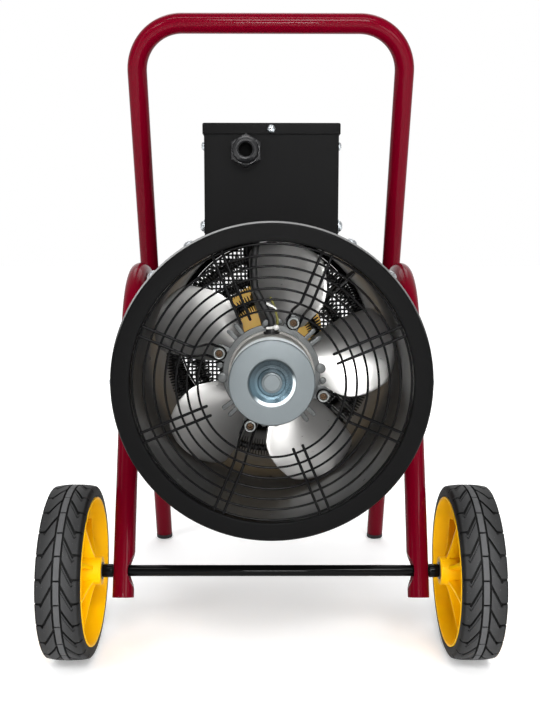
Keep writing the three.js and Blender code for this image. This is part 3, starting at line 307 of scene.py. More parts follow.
def plate(outline, low, high, edge=0.4):
    """A flat plate in the XZ plane between two heights along Y: its outline's rows are pulled in by the edge
    radius times 1 - sin k at each face, along the mean direction of the neighbouring sides."""
    outline = np.asarray(outline, float)
    sides = unit(np.roll(outline, -1, 0) - outline)
    square = np.stack([sides[:, 1], -sides[:, 0]], -1)
    normal = unit(square + np.roll(square, 1, 0))
    if np.cross(outline, np.roll(outline, -1, 0)).sum() < 0:
        normal = -normal
    k = np.radians([0, 30, 60, 90])
    pull = np.concatenate([edge * (1 - np.sin(k)), edge * (1 - np.sin(k[::-1]))])
    height = np.concatenate([low + edge * (1 - np.cos(k)), high - edge * (1 - np.cos(k[::-1]))])
    x, z = np.moveaxis(outline - pull[:, None, None] * normal, -1, 0)
    points = np.stack(np.broadcast_arrays(x, height[:, None], z), -1)
    middle = outline.mean(0)
    return skin(points, False, [middle[0], low, middle[1]], [middle[0], high, middle[1]])


def hexagon_head(across_flats, height, count=48):
    """Hexagonal prism along +Y from y = 0: radius = flat / cos(angle from the flat's middle), cut by the cone
    that chamfers the top corners."""
    t = turns(count)
    flat = across_flats / 2
    rim = flat / np.cos((t + np.pi / 6) % (np.pi / 3) - np.pi / 6)
    corner = flat / math.cos(math.pi / 6)
    chamfer = (corner - flat * 0.96) * 0.55
    heights = np.array([0.0, 0.0, height - chamfer, height - chamfer * 0.5, height])
    limit = np.array([flat * 0.9, 2 * corner, corner, (corner + flat * 0.96) / 2, flat * 0.96])
    radius = np.minimum(rim[None], limit[:, None])
    return skin(rings(radius, heights[:, None], t), False, [0, 0, 0], [0, height, 0])


def washer(outer, inner, thick, count=40):
    """Flat ring along +Y from y = 0, with its edges rounded."""
    return ring_form([(outer, 0), (outer, thick), (inner, thick), (inner, 0)], thick * 0.3, 3, count)


def screw_head(radius, height):
    """Pan head along +Y: height sqrt(1 - (r/R)^2.6), less a cross recess where the point lies within the
    slot's half width of either axis."""
    r = radius * np.array([1.0, 0.985, 0.95, 0.88, 0.8, 0.7, 0.6, 0.56, 0.5, 0.42, 0.34, 0.26, 0.2, 0.14, 0.08])
    c, s = circle(48)
    x, z = r[:, None] * c, r[:, None] * s
    cap = height * (1 - (r / radius) ** 2.6)[:, None] ** 0.5
    narrow = np.minimum(np.abs(x), np.abs(z)) < radius * 0.11
    recess = np.where(narrow & (r[:, None] < radius * 0.57), height * 0.55, 0)
    points = np.stack([x, cap - recess, z], -1)
    base = points[:1] * [1, 0, 1]
    return skin(np.concatenate([base, points]), False, [0, 0, 0], [0, height * 0.4, 0])


def dome(radius, height):
    """A quarter ellipse turned about Y."""
    k = np.radians(np.linspace(0, 90, 7))
    profile = np.stack([radius * np.cos(k), height * np.sin(k)], -1)
    return turned(np.vstack([[0, 0], profile]), 24)


def add_piece(name, forms, look, stands_for=None, body="chassis", sharp=32.0):
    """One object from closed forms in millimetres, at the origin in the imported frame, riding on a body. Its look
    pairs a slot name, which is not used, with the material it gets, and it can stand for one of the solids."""
    slot, material = look
    verts, faces, start = [], [], 0
    for points, groups in forms:
        verts.append(points)
        faces += [face for group in groups for face in (group + start).tolist()]
        start += len(points)
    mesh = bpy.data.meshes.new(name)
    mesh.from_pydata(((np.concatenate(verts) + [0, SHIFT_Y, 0]) * 0.001).tolist(), [], faces)
    mesh.shade_smooth()
    mesh.set_sharp_from_angle(angle=math.radians(sharp))
    piece = bpy.data.objects.new(name, mesh)
    bpy.context.scene.collection.objects.link(piece)
    mesh.materials.append(material)
    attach(piece, body)
    if stands_for:
        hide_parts(stands_for)


# ---------------------------------------------------------------- shader maths
class Wire:
    """A node's output that Python arithmetic can be done on: each operator adds the Math node for it."""

    def __init__(self, finish, socket):
        self.finish = finish
        self.socket = socket

    def _math(self, operation, *others):
        return self.finish.node("ShaderNodeMath", {"operation": operation}, dict(enumerate([self, *others])))

    def __add__(self, other):
        return self._math("ADD", other)

    __radd__ = __add__

    def __mul__(self, other):
        return self._math("MULTIPLY", other)

    __rmul__ = __mul__

    def __sub__(self, other):
        return self._math("SUBTRACT", other)

    def __rsub__(self, other):
        return self.finish.node("ShaderNodeMath", {"operation": "SUBTRACT"}, {0: other, 1: self})

    def __truediv__(self, other):
        return self._math("DIVIDE", other)

    def __pow__(self, other):
        return self._math("POWER", other)

    def step(self, low, high):
        """0 below low, 1 above high and smooth between."""
        inputs = {"Value": self, "From Min": low, "From Max": high}
        return self.finish.node("ShaderNodeMapRange", {"interpolation_type": "SMOOTHSTEP"}, inputs)

    def root(self):
        return self._math("SQRT")

    def size(self):
        return self._math("ABSOLUTE")

    def above(self, low):
        return self._math("MAXIMUM", low)


class Finish:
    """A material with one Principled shader, and one method that adds any other node."""

    def __init__(self, name, **fixed):
        self.material = bpy.data.materials.new(name)
        self.material.use_nodes = True
        self.tree = self.material.node_tree
        self.tree.nodes.clear()
        self.shader = self.tree.nodes.new("ShaderNodeBsdfPrincipled")
        output = self.tree.nodes.new("ShaderNodeOutputMaterial")
        self.tree.links.new(self.shader.outputs[0], output.inputs[0])
        for socket, value in fixed.items():
            self.shader.inputs[self.label(socket)].default_value = value

    @staticmethod
    def label(name):
        return name.replace("_", " ").title().replace("Ior", "IOR")

    def node(self, kind, settings=None, inputs=None, out=0):
        """Adds a node: its settings first, then the values or links of its sockets. Gives one output."""
        made = self.tree.nodes.new(kind)
        for key, value in (settings or {}).items():
            if key == "stops":
                ramp = made.color_ramp
                while len(ramp.elements) < len(value):
                    ramp.elements.new(0.5)
                for element, (place, colour) in zip(ramp.elements, value):
                    element.position, element.color = place, (*colour, 1.0)
            else:
                setattr(made, key, value)
        for key, value in (inputs or {}).items():
            if isinstance(value, Wire):
                self.tree.links.new(value.socket, made.inputs[key])
            else:
                made.inputs[key].default_value = value
        return Wire(self, made.outputs[out])

    def place(self, centre=(0.0, 0.0, 0.0), scale=(1.0, 1.0, 1.0)):
        """Object coordinates, less a centre, times a scale."""
        where = self.node("ShaderNodeTexCoord", out="Object")
        shifted = self.node("ShaderNodeVectorMath", {"operation": "SUBTRACT"}, {0: where, 1: centre})
        return self.node("ShaderNodeVectorMath", {"operation": "MULTIPLY"}, {0: shifted, 1: scale})

    def split(self, centre=(0.0, 0.0, 0.0)):
        """X, Y and Z of the place, less a centre."""
        parts = self.node("ShaderNodeSeparateXYZ", None, {0: self.place(centre)}).socket.node
        return [Wire(self, output) for output in parts.outputs]

    def noise(self, scale, detail=3.0, rough=0.5, at=None):
        inputs = {"Vector": at or self.place(), "Scale": scale, "Detail": detail, "Roughness": rough}
        return self.node("ShaderNodeTexNoise", None, inputs)

    def cells(self, scale):
        """A colour for each Voronoi cell."""
        return self.node("ShaderNodeTexVoronoi", None, {"Vector": self.place(), "Scale": scale}, "Color")

    def blend(self, factor, low, high):
        """Low colour at 0, high colour at 1."""
        low = low if isinstance(low, Wire) else (*low, 1.0)
        high = high if isinstance(high, Wire) else (*high, 1.0)
        return self.node("ShaderNodeMix", {"data_type": "RGBA"}, {0: factor, 6: low, 7: high}, 2)

    def feed(self, **links):
        for socket, value in links.items():
            self.tree.links.new(value.socket, self.shader.inputs[self.label(socket)])
        return self

    def bump(self, height, strength, distance):
        normal = self.node("ShaderNodeBump", None, {"Height": height, "Strength": strength, "Distance": distance})
        return self.feed(normal=normal)


def shade(colour, factor):
    """The colour times a factor, held to 1."""
    return tuple(min(c * factor, 1.0) for c in colour)


def paint_finish(name, colour, roughness, coat, wave_scale=60.0):
    """Gloss paint on tube: slow changes of tone, faint ripple, fine dust."""
    finish = Finish(name, coat_roughness=0.05, coat_weight=coat, coat_ior=1.35, specular_ior_level=0.03)
    tone = finish.noise(9.0, 2.0)
    dust = finish.noise(420.0, 2.0, 0.7).step(0.62, 0.8)
    finish.feed(base_color=finish.blend(tone, shade(colour, 0.86), shade(colour, 1.1)))
    finish.feed(roughness=tone * 0.05 + dust * 0.12 + (roughness - 0.02))
    return finish.bump(finish.noise(wave_scale, 2.0), 0.06, 0.0008).material


def powder_finish(name, colour, roughness, rim=0.0):
    """Satin powder coat: fine orange peel, broad cloudy wear and a few lighter scuffs. A rim is the radius, in
    metres from the duct's axis, outside which the upper edge gets a painted highlight, stronger towards -x."""
    finish = Finish(name, metallic=0.0, specular_ior_level=0.04)
    cloud = finish.noise(7.0, 4.0, 0.6)
    scuff = finish.noise(34.0, 6.0, 0.75, finish.place(scale=(1.0, 1.0, 3.2))).step(0.69, 0.76)
    tone = finish.blend(cloud, shade(colour, 0.8), shade(colour, 1.25))
    tone = finish.blend(scuff * 0.14, tone, (0.12, 0.12, 0.115))
    if rim:
        x, _, z = finish.split((0.0, 0.0, DUCT_Z * 0.001))
        # painted highlight: the upper outer edge is lightened as if catching light, more on the -x side
        painted_edge_highlight = (x * x + z * z).root().step(rim, rim + 0.0009) * z.step(0.03, 0.1) * (x * -1.7 + 0.65)
        tone = finish.blend(painted_edge_highlight, tone, (0.26, 0.26, 0.26))
    finish.feed(base_color=tone)
    finish.feed(roughness=cloud * 0.12 + scuff * 0.06 + (roughness - 0.06))
    peel = finish.noise(1300.0, 2.0) + finish.noise(390.0, 2.0) * 0.6
    return finish.bump(peel, 0.22, 0.00005).material


def sheet_finish(name, colour, roughness, metallic=0.95, stretch=(1.0, 1.0, 1.0), grain=260.0, tone=0.14):
    """Rolled or brushed sheet: streaks along one direction, faint blotches, small scratches."""
    finish = Finish(name, metallic=metallic)
    at = finish.place(scale=stretch)
    streak = finish.noise(grain, 4.0, 0.65, at)
    blotch = finish.noise(14.0, 3.0, 0.55)
    mark = finish.noise(90.0, 5.0, 0.8, finish.place(scale=(2.6, 1.0, 0.5))).step(0.66, 0.72)
    base = finish.blend(blotch, shade(colour, 1 - tone), shade(colour, 1 + tone))
    finish.feed(base_color=finish.blend(mark * 0.2, base, shade(colour, 0.6)))
    finish.feed(roughness=streak * 0.14 + blotch * 0.08 + (roughness - 0.1))
    return finish.bump(streak, 0.07, 0.0003).material


def spangle_finish(name, colour, roughness, metallic=0.85, size=160.0):
    """Zinc plate: crystal cells of slightly different tone under a fine grain."""
    finish = Finish(name, metallic=metallic)
    crystal = finish.cells(size)
    tone = finish.node("ShaderNodeSeparateColor", None, {"Color": crystal})
    grain = finish.noise(900.0, 3.0, 0.6)
    cloud = finish.noise(22.0, 3.0)
    mixed = tone * 0.25 + cloud * 0.75
    finish.feed(base_color=finish.blend(mixed, shade(colour, 0.85), shade(colour, 1.14)))
    finish.feed(roughness=mixed * 0.16 + grain * 0.08 + (roughness - 0.12))
    return finish.bump(grain + tone * 0.4, 0.1, 0.0002).material


def tread_finish(name, colour, wheel_x):
    """Tyre rubber: grooves are where the radius falls below the crown, 100 - 2.2 ((|w| - 3) / 20.4)^2.2 mm, and
    get painted shade. Lug tops get a painted highlight that grows towards the centre rib, with pale grit, and the
    shoulders get painted shade."""
    finish = Finish(name, specular_ior_level=0.2)
    x, y, z = finish.split((wheel_x * 0.001, SHIFT_Y * 0.001, AXLE_Z * 0.001))
    radius = (y * y + z * z).root()
    across = x.size()
    crown = 0.1 - (((across - 0.003).above(0.0) / 0.0204) ** 2.2) * 0.0022
    top = (radius - crown).step(-0.0021, -0.0006)
    flank = across.step(0.0206, 0.0226)
    rib_painted_highlight = 1.0 - across.step(0.0028, 0.0036)
    middle = 1.0 - across.step(0.004, 0.019)
    cloud = finish.noise(45.0, 5.0, 0.65)
    speck = finish.noise(700.0, 2.0, 0.8).step(0.68, 0.76) * top * (1.0 - flank)
    # painted highlight on the lug tops, growing towards the middle and strongest on the centre rib; painted shade on
    # the shoulders and in the grooves
    lug = finish.blend(middle * 0.8 + cloud * 0.3 - 0.1, shade(colour, 0.9), shade(colour, 2.3))
    lug = finish.blend(rib_painted_highlight * (cloud * 0.4 + 0.6), lug, shade(colour, 4.4))
    lug = finish.blend(flank, lug, shade(colour, 0.3))
    base = finish.blend(top, shade(colour, 0.1), lug)
    finish.feed(base_color=finish.blend(speck * 0.55, base, (0.25, 0.25, 0.24)))
    finish.feed(roughness=cloud * 0.16 + 0.6 - top * 0.04)
    return finish.bump(finish.noise(700.0, 4.0, 0.7) + cloud * 0.6, 0.25, 0.0005).material


def cap_finish(name, colour, roughness):
    """Zinc plate whose pressed recess keeps a bluer tint than the flat face, with painted shade towards its top, a
    painted highlight low in the recess and a painted highlight on the side wall next to the face, fading to a dull
    beige further back. All of it follows the distance from the motor's axis and the depth behind the face."""
    finish = Finish(name, metallic=0.5)
    x, y, z = finish.split((0.0, SHIFT_Y * 0.001, DUCT_Z * 0.001))
    radius = (x * x + z * z).root()
    recess = (1.0 - radius.step(0.0215, 0.0245)) * radius.step(0.0098, 0.0112)
    grain = finish.noise(900.0, 3.0, 0.6)
    cloud = finish.noise(22.0, 3.0) * 0.6 + finish.noise(150.0, 3.0, 0.7) * 0.4
    face = finish.blend(cloud, shade(colour, 0.86), shade(colour, 1.14))
    blue = (colour[0] * 0.5, colour[1] * 0.82, colour[2])
    # painted highlight on the side wall next to the face, fading to dull beige further back, with less metal there
    side = radius.step(0.0415, 0.0428) * y.step(-0.1272, -0.1252)
    side_painted_highlight = finish.blend(y.step(-0.108, -0.094), (0.86, 0.92, 0.94), (0.3, 0.29, 0.27))
    face = finish.blend(side, face, side_painted_highlight)
    # painted shade towards the top of the recess
    face = finish.blend(recess * 0.9, face, finish.blend(z.step(-0.012, 0.016), blue, shade(blue, 0.3)))
    # painted highlight low in the recess, towards +x and -z, with no metal there
    low = radius.step(0.0208, 0.0216) * (1.0 - radius.step(0.0236, 0.0244)) * (x * 0.5 - z * 0.85).step(0.002, 0.012)
    finish.feed(base_color=finish.blend(low, face, (0.86, 0.93, 0.95)))
    finish.feed(metallic=(1.0 - side) * (1.0 - low) * 0.5)
    finish.feed(roughness=cloud * 0.12 + grain * 0.06 + (roughness - 0.09) - recess * 0.1)
    return finish.bump(grain + cloud * 0.4, 0.08, 0.0002).material


def moulded_finish(name, colour, roughness, coat=0.0, grain=1600.0, strength=0.12, emission=0.0, gloss=0.25):
    """Moulded plastic or rubber: even colour with slow change and a fine moulded grain."""
    fixed = {"coat_weight": coat, "coat_roughness": 0.12, "specular_ior_level": gloss}
    if emission:
        fixed.update(emission_color=(*colour, 1.0), emission_strength=emission)
    finish = Finish(name, **fixed)
    cloud = finish.noise(18.0, 4.0, 0.6)
    fine = finish.noise(grain, 2.0, 0.6)
    finish.feed(base_color=finish.blend(cloud, shade(colour, 0.9), shade(colour, 1.08)))
    finish.feed(roughness=cloud * 0.1 + fine * 0.06 + (roughness - 0.07))
    return finish.bump(fine + cloud * 0.5, strength, 0.0002).material


def gold_finish(name, colour, roughness):
    """Yellow passivated sheet: gold with faint pink and green bands, and a painted glow: it emits gold light of its
    own.
    """
    # painted glow: the sheet emits gold light though it is no lamp
    finish = Finish(name, metallic=0.05, emission_color=(1.0, 0.62, 0.16, 1.0), emission_strength=0.36)
    cloud = finish.noise(16.0, 3.0, 0.6)
    ramp = {"stops": [(0.25, shade(colour, 0.75)), (0.5, colour), (0.66, (0.9, 0.62, 0.3)), (0.8, (0.7, 0.74, 0.3))]}
    finish.feed(base_color=finish.node("ShaderNodeValToRGB", ramp, {"Fac": cloud}))
    finish.feed(roughness=cloud * 0.15 + (roughness - 0.07))
    return finish.bump(finish.noise(700.0, 3.0), 0.08, 0.0002).material


# ---------------------------------------------------------------- settings
def length(label, text, default):
    return bpy.props.FloatProperty(name=label, description=text, default=default, min=0.0, unit="LENGTH")


def colour(label, text, default):
    return bpy.props.FloatVectorProperty(
        name=label, description=text, default=default, size=3, subtype="COLOR", min=0.0, max=1.0
    )


class HeaterFrameSettings(bpy.types.PropertyGroup):
    """Tube frame and axle."""

    tube_radius: length("Tube radius", "Outer radius of the frame tube", 0.0125)
    tube_wall: length("Tube wall", "Wall thickness of the frame tube", 0.002)
    dent_depth: length("Axle dent", "Depth of the dent pressed into each rear leg at the axle", 0.009)
    paint: colour("Frame paint", "Colour of the gloss paint on the tubes", (0.112, 0.0002, 0.0068))


class HeaterWheelSettings(bpy.types.PropertyGroup):
    """Tyres and hubs."""

    lugs: bpy.props.IntProperty(name="Lugs", description="Lugs round each tyre", default=24, min=6, max=60)
    groove: length("Groove depth", "Depth of the tread grooves", 0.0028)
    ribs: bpy.props.IntProperty(name="Ribs", description="Ribs on each side of the hub's web", default=6, min=3, max=12)
    # the lug tops take this colour with a painted highlight towards the centre rib
    rubber: colour("Tyre rubber", "Colour of the worn lug tops", (0.0175, 0.0177, 0.0182))
    plastic: colour("Hub plastic", "Colour of the moulded hubs", (0.93, 0.52, 0.0004))


class HeaterDuctSettings(bpy.types.PropertyGroup):
    """Duct, guard, mesh and heating elements."""

    coat: colour("Powder coat", "Colour of the duct and control box", (0.0044, 0.0044, 0.0045))
    wire: length("Guard wire", "Radius of the guard's rings", 0.00115)
    rod: length("Guard rods", "Radius of the guard's straight rods", 0.00145)
    mesh_pitch: length("Mesh pitch", "Spacing of the outlet mesh", 0.0062)
    fin_pitch: length("Fin pitch", "Spacing of the fins along each heating element", 0.0034)


class HeaterMotorSettings(bpy.types.PropertyGroup):
    """Motor and fan."""

    zinc: colour("Motor zinc", "Colour of the motor's end cap", (0.1, 0.115, 0.121))
    blade: colour("Blade metal", "Colour of the fan blades", (0.66, 0.65, 0.635))
    pitch: bpy.props.FloatProperty(
        name="Blade pitch", description="Angle of the blades to the fan's plane", default=math.radians(24.0),
        subtype="ANGLE",
    )


class HeaterBoxSettings(bpy.types.PropertyGroup):
    """Control box, gland and controls."""

    edge: length("Fold radius", "Outer radius of the folded sheet edges", 0.0016)
    lens: colour("Lamp lens", "Colour of the pilot lamp", (0.95, 0.24, 0.02))
    button: colour("Reset button", "Colour of the reset button", (0.5, 0.012, 0.01))


def mm(metres):
    """Settings are in metres and shapes in millimetres."""
    return metres * 1000.0


# ---------------------------------------------------------------- frame pieces
def hollow_tube(path, radius, wall, across, reshape=None, cut_floor=None):
    """A tube with an open bore: circles of both radii along the path, joined in one loop at the ends. With a floor,
    the last circles slide along the tube until they stand level on it."""
    ahead, side, up = frames(path, across)
    walls = []
    for r in (radius, radius - wall):
        ring = path[:, None] + r * section(side, up, TUBE_SIDES)
        if reshape is not None:
            ring = reshape(ring, radius - r)
        if cut_floor is not None:
            fall = (ring[-1, :, 2] - cut_floor) / ahead[-1, 2]
            ring[-1] -= ahead[-1] * fall[:, None]
        walls.append(ring)
    outer, inner = walls
    start_lip, end_lip = (outer[:1] + inner[:1]) / 2, (outer[-1:] + inner[-1:]) / 2
    return skin(np.concatenate([start_lip, outer, end_lip, inner[::-1]]), True)


def side_frame(sign, settings):
    """Rear leg, top bend and front leg: x fixed, y = (z - 100) tan 19.5 up the rear leg and 421.5 - z tan 20.5
    down the front one, with the axle's dent pressed into the inner side."""
    x = sign * SIDE_X
    top_z = (FOOT_Y + AXLE_Z * math.tan(REAR_LEAN)) / (math.tan(REAR_LEAN) + math.tan(FRONT_LEAN))
    corners = [(x, rear_leg_y(LEG_END_Z), LEG_END_Z), (x, rear_leg_y(top_z), top_z), (x, front_leg_y(FOOT_H), FOOT_H)]
    path = rounded(corners, APEX_BEND, 40)
    # close stations where the dent lies
    low = path[0] + (path[1] - path[0]) * np.linspace(0, 0.22, 60)[:, None]
    path = denser(np.concatenate([low, path[1:]]), 6.0)
    depth, radius = mm(settings.dent_depth), mm(settings.tube_radius)

    def dent(ring, inside):
        """Inner side pulled back to depth * bump, where bump eases from 1 at 6 mm from the axle, along the leg,
        to 0 at 21 mm. The smooth minimum over 0.35 mm rounds the dent's edge."""
        run = np.hypot(ring[..., 1], ring[..., 2] - AXLE_Z)
        bump = np.clip((21.0 - run) / 15.0, 0, 1)
        bump = bump * bump * (3 - 2 * bump)
        limit = radius - inside - depth * bump
        reach = (ring[..., 0] - x) * -sign
        soft = limit - DENT_EDGE * np.log1p(np.exp(np.clip((limit - reach) / DENT_EDGE, -40, 40)))
        pressed = np.where(bump > 0, soft, reach)
        out = ring.copy()
        out[..., 0] = x - sign * np.minimum(pressed, reach)
        return out

    return hollow_tube(path, radius, mm(settings.tube_wall), (1.0, 0.0, 0.0), dent, FOOT_H)


def handle_path():
    """The U of the handle: legs just over a tube's width behind the front legs, joined by the bar at the top."""
    behind = HANDLE_STEP / math.cos(FRONT_LEAN)
    low, high = [(-SIDE_X, front_leg_y(z) + behind, z) for z in (HANDLE_END_Z, BAR_Z)]
    corners = [low, high] + [(SIDE_X, y, z) for _, y, z in (high, low)]
    return denser(rounded(corners, HANDLE_BEND, 24), 9.0)


def foot_form(x):
    """Rubber foot: circles square to the floor on the leg's line, radius 12.7 less the rounding at the floor."""
    z = np.array([0.0, 0.0, 0.5, 1.2, 2.2, 6.6, 7.2, 7.7, 7.7, 30.0])
    pull = np.array([12.0, 1.6, 0.7, 0.2, 0.0, 0.0, 0.25, 0.8, 3.0, 3.0])
    c, s = circle(48)
    radius = (12.7 - pull)[:, None]
    y = front_leg_y(z)[:, None] + radius / math.cos(FRONT_LEAN) * s
    points = np.stack(np.broadcast_arrays(x + radius * c, y, z[:, None]), -1)
    return skin(points, False, [x, front_leg_y(0), 0], [x, front_leg_y(30), 30])


def bolt_forms(head, nut, direction):
    """Hexagon head with its washer at one end and washer, nut and thread end at the other."""
    forms = []
    for at, way, height in ((head, -direction, 4.4), (nut, direction, 4.2)):
        forms.append(aimed(washer(8.2, 4.1, 1.3), way, at - way * 0.1))
        forms.append(aimed(hexagon_head(13.0, height), way, at + way * 1.2))
    forms.append(swept([head, nut + direction * 6.8], 3.9, 24))
    return forms


class HEATER_OT_frame(bpy.types.Operator):
    """Side tubes, handle loop, rubber feet and the bolts through the tubes."""

    bl_idname = "heater.frame"
    bl_label = "Frame"

    def execute(self, context):
        settings = context.scene.heater_frame
        paint = "frame_paint", paint_finish("frame_gloss_paint", tuple(settings.paint), 0.2, 0.15)
        rubber = "rubber", moulded_finish("foot_rubber", (0.012, 0.012, 0.013), 0.6, strength=0.25)
        plated = "galvanised", spangle_finish("plated_steel", (0.55, 0.56, 0.57), 0.34, 0.95, 420.0)
        across = np.array([0.0, math.cos(FRONT_LEAN), math.sin(FRONT_LEAN)])
        for side, sign in SIDES:
            add_piece(f"bent_side_tube_{side}", [side_frame(sign, settings)], paint, f"side_frame_{side}")
            add_piece(f"rubber_foot_{side}", [foot_form(sign * SIDE_X)], rubber, f"foot_{side}")
            for leg, y in (("rear", rear_leg_y(DUCT_Z)), ("front", front_leg_y(DUCT_Z))):
                head = np.array([sign * (SIDE_X + BOLT_SEAT), y, DUCT_Z])
                nut = np.array([sign * DUCT_NUT_X, y, DUCT_Z])
                forms = bolt_forms(head, nut, np.array([-sign, 0.0, 0.0]))
                add_piece(f"tube_bolt_{side}_{leg}", forms, plated, f"duct_bolt_{side}_{leg}")
            for place, z in zip(("lower", "upper"), HANDLE_BOLT_Z):
                middle = np.array([sign * SIDE_X, front_leg_y(z), z])
                forms = bolt_forms(middle - across * BOLT_SEAT, middle + across * (HANDLE_STEP + BOLT_SEAT), across)
                add_piece(f"grip_bolt_{side}_{place}", forms, plated, f"handle_bolt_{side}_{place}")
        grip = hollow_tube(handle_path(), mm(settings.tube_radius), mm(settings.tube_wall), (0.0, 1.0, 0.37))
        add_piece("bent_handle_tube", [grip], paint, "handle_loop")
        return {"FINISHED"}


# ---------------------------------------------------------------- wheels
def tyre_form(settings, wheel_x, inner):
    """Tyre round X: the point at run s round the tyre and w across it is (w, -R cos a, R sin a), a = -s / R.
    Grooves are rows of the grid: s = lug pitch + shear(w) + offset(row, w), so the diagonal grooves follow the
    shear, which is 0 beside the centre rib and 20 mm at the shoulders. The radius is the crown less the groove's
    depth, and the loop closes over the sidewalls and the seat on the hub."""
    lugs = settings.lugs
    pitch = 2 * math.pi * AXLE_Z / lugs
    deep = mm(settings.groove)
    # across the tread, from one shoulder to the other
    half = np.array([0.0, 1.5, 3.0, 3.3, 5.0, 5.3, 8.0, 11.0, 14.0, 16.2, 18.4, 20.4, 21.6, 22.5, 23.2])
    w = np.concatenate([-half[:0:-1], half])
    size = np.abs(w)
    crown = AXLE_Z - 2.2 * (np.maximum(size - 3, 0) / 20.4) ** 2.2
    crown -= 2.4 * (np.maximum(w * inner - 21.2, 0) / 2.0) ** 1.6
    trench = ((size > 3.1) & (size < 5.1)).astype(float)
    rib = size < 3.1
    shear = pitch * 0.2 + np.where(rib, -4.6, 20.0 * np.clip((size - 5.3) / 10.9, 0, 1))
    groove = np.where(rib, 2.0, np.where(size > 16.5, 2.8, 5.6))
    # rows of one lug: groove walls and floor, lug face, sipe on the side towards the frame
    sipe_from, sipe_to, slope = 0.12, 0.19, 0.008
    offset = [0 * w, 0 * w + 0.3, groove - 0.3, groove]
    face = pitch - groove
    marks = (0.07, sipe_from, sipe_from + slope, sipe_to, sipe_to + slope, 0.36, 0.56, 0.78)
    offset += [groove + face * k for k in marks]
    offset = np.array(offset)
    depth = np.zeros_like(offset)
    depth[1:3] = deep
    towards_frame = (w * inner > 5.2) & (size < 16.5)
    depth[6:8] = np.where(towards_frame, deep * 0.75, 0)
    depth = np.maximum(depth, trench * deep)
    rows = np.arange(lugs)[:, None, None] * pitch + shear + offset[None]
    rows = rows.reshape(-1, len(w))
    depth = np.tile(depth, (lugs, 1))
    # sidewalls and seat, from the +w shoulder round to the -w one
    wall = np.array([(23.7, 93.6), (24.1, 91.6), (24.1, 89.5), (23.9, 87.6), (23.6, 86.4), (23.3, 85.9), (8.0, 85.9)])
    wall_w = np.concatenate([wall[:, 0], -wall[::-1, 0]])
    wall_r = np.concatenate([wall[:, 1], wall[::-1, 1]])
    wall_s = np.linspace(rows[:, -1], rows[:, 0], len(wall_w) + 2, axis=1)[:, 1:-1]
    run = np.concatenate([rows, wall_s], 1)
    radius = np.concatenate([crown - depth, np.broadcast_to(wall_r, wall_s.shape)], 1)
    width = np.concatenate([np.broadcast_to(w, rows.shape), np.broadcast_to(wall_w, wall_s.shape)], 1)
    angle = -run / AXLE_Z
    points = np.stack([wheel_x + width, -radius * np.cos(angle), AXLE_Z + radius * np.sin(angle)], -1)
    return skin(points, True)


def hub_forms(settings, wheel_x, sign):
    """Hub round X. Its profile (radius, outwards) is turned, and each rib is a wedge: height falls in a straight
    line from the boss to the barrel."""
    barrel = HUB_R - 4.5
    corners = [
        (10.3, -32.4), (15.9, -32.4), (16.4, -3.0), (barrel - 1, -3.0), (barrel + 2.4, -24.4), (HUB_R, -24.4),
        (HUB_R, 24.4), (barrel + 2.4, 24.4), (barrel - 1, 3.0), (16.4, 3.0), (15.9, 17.6), (10.3, 17.6),
    ]
    forms = [ring_form(corners, [0.5, 1.0, 4.0, 9.0, 1.6, 0.5, 0.5, 1.6, 9.0, 4.0, 1.0, 0.5], 7, 128)]
    r = np.array([14.0, 17.0, 24.0, 34.0, 48.0, 62.0, 74.0, barrel + 0.5])
    k = np.clip((r - 17) / (barrel - 17), 0, 1)
    inner, outer, half = -24.0 + 17.0 * k ** 0.8, 13.0 - 6.0 * k, 2.3 - 0.5 * k
    pull = 0.5
    loop = [
        (half, inner + pull), (half - pull, inner), (-half + pull, inner), (-half, inner + pull),
        (-half, outer - pull), (-half + pull, outer), (half - pull, outer), (half, outer - pull),
    ]
    points = np.array([[r, height, side] for side, height in loop]).transpose(2, 0, 1)
    rib = skin(points, False, points[0].mean(0), points[-1].mean(0))
    forms += [spun(rib, math.pi / 2 + i * 2 * math.pi / settings.ribs) for i in range(settings.ribs)]
    return [aimed(form, (sign, 0.0, 0.0), (wheel_x, 0.0, AXLE_Z)) for form in forms]


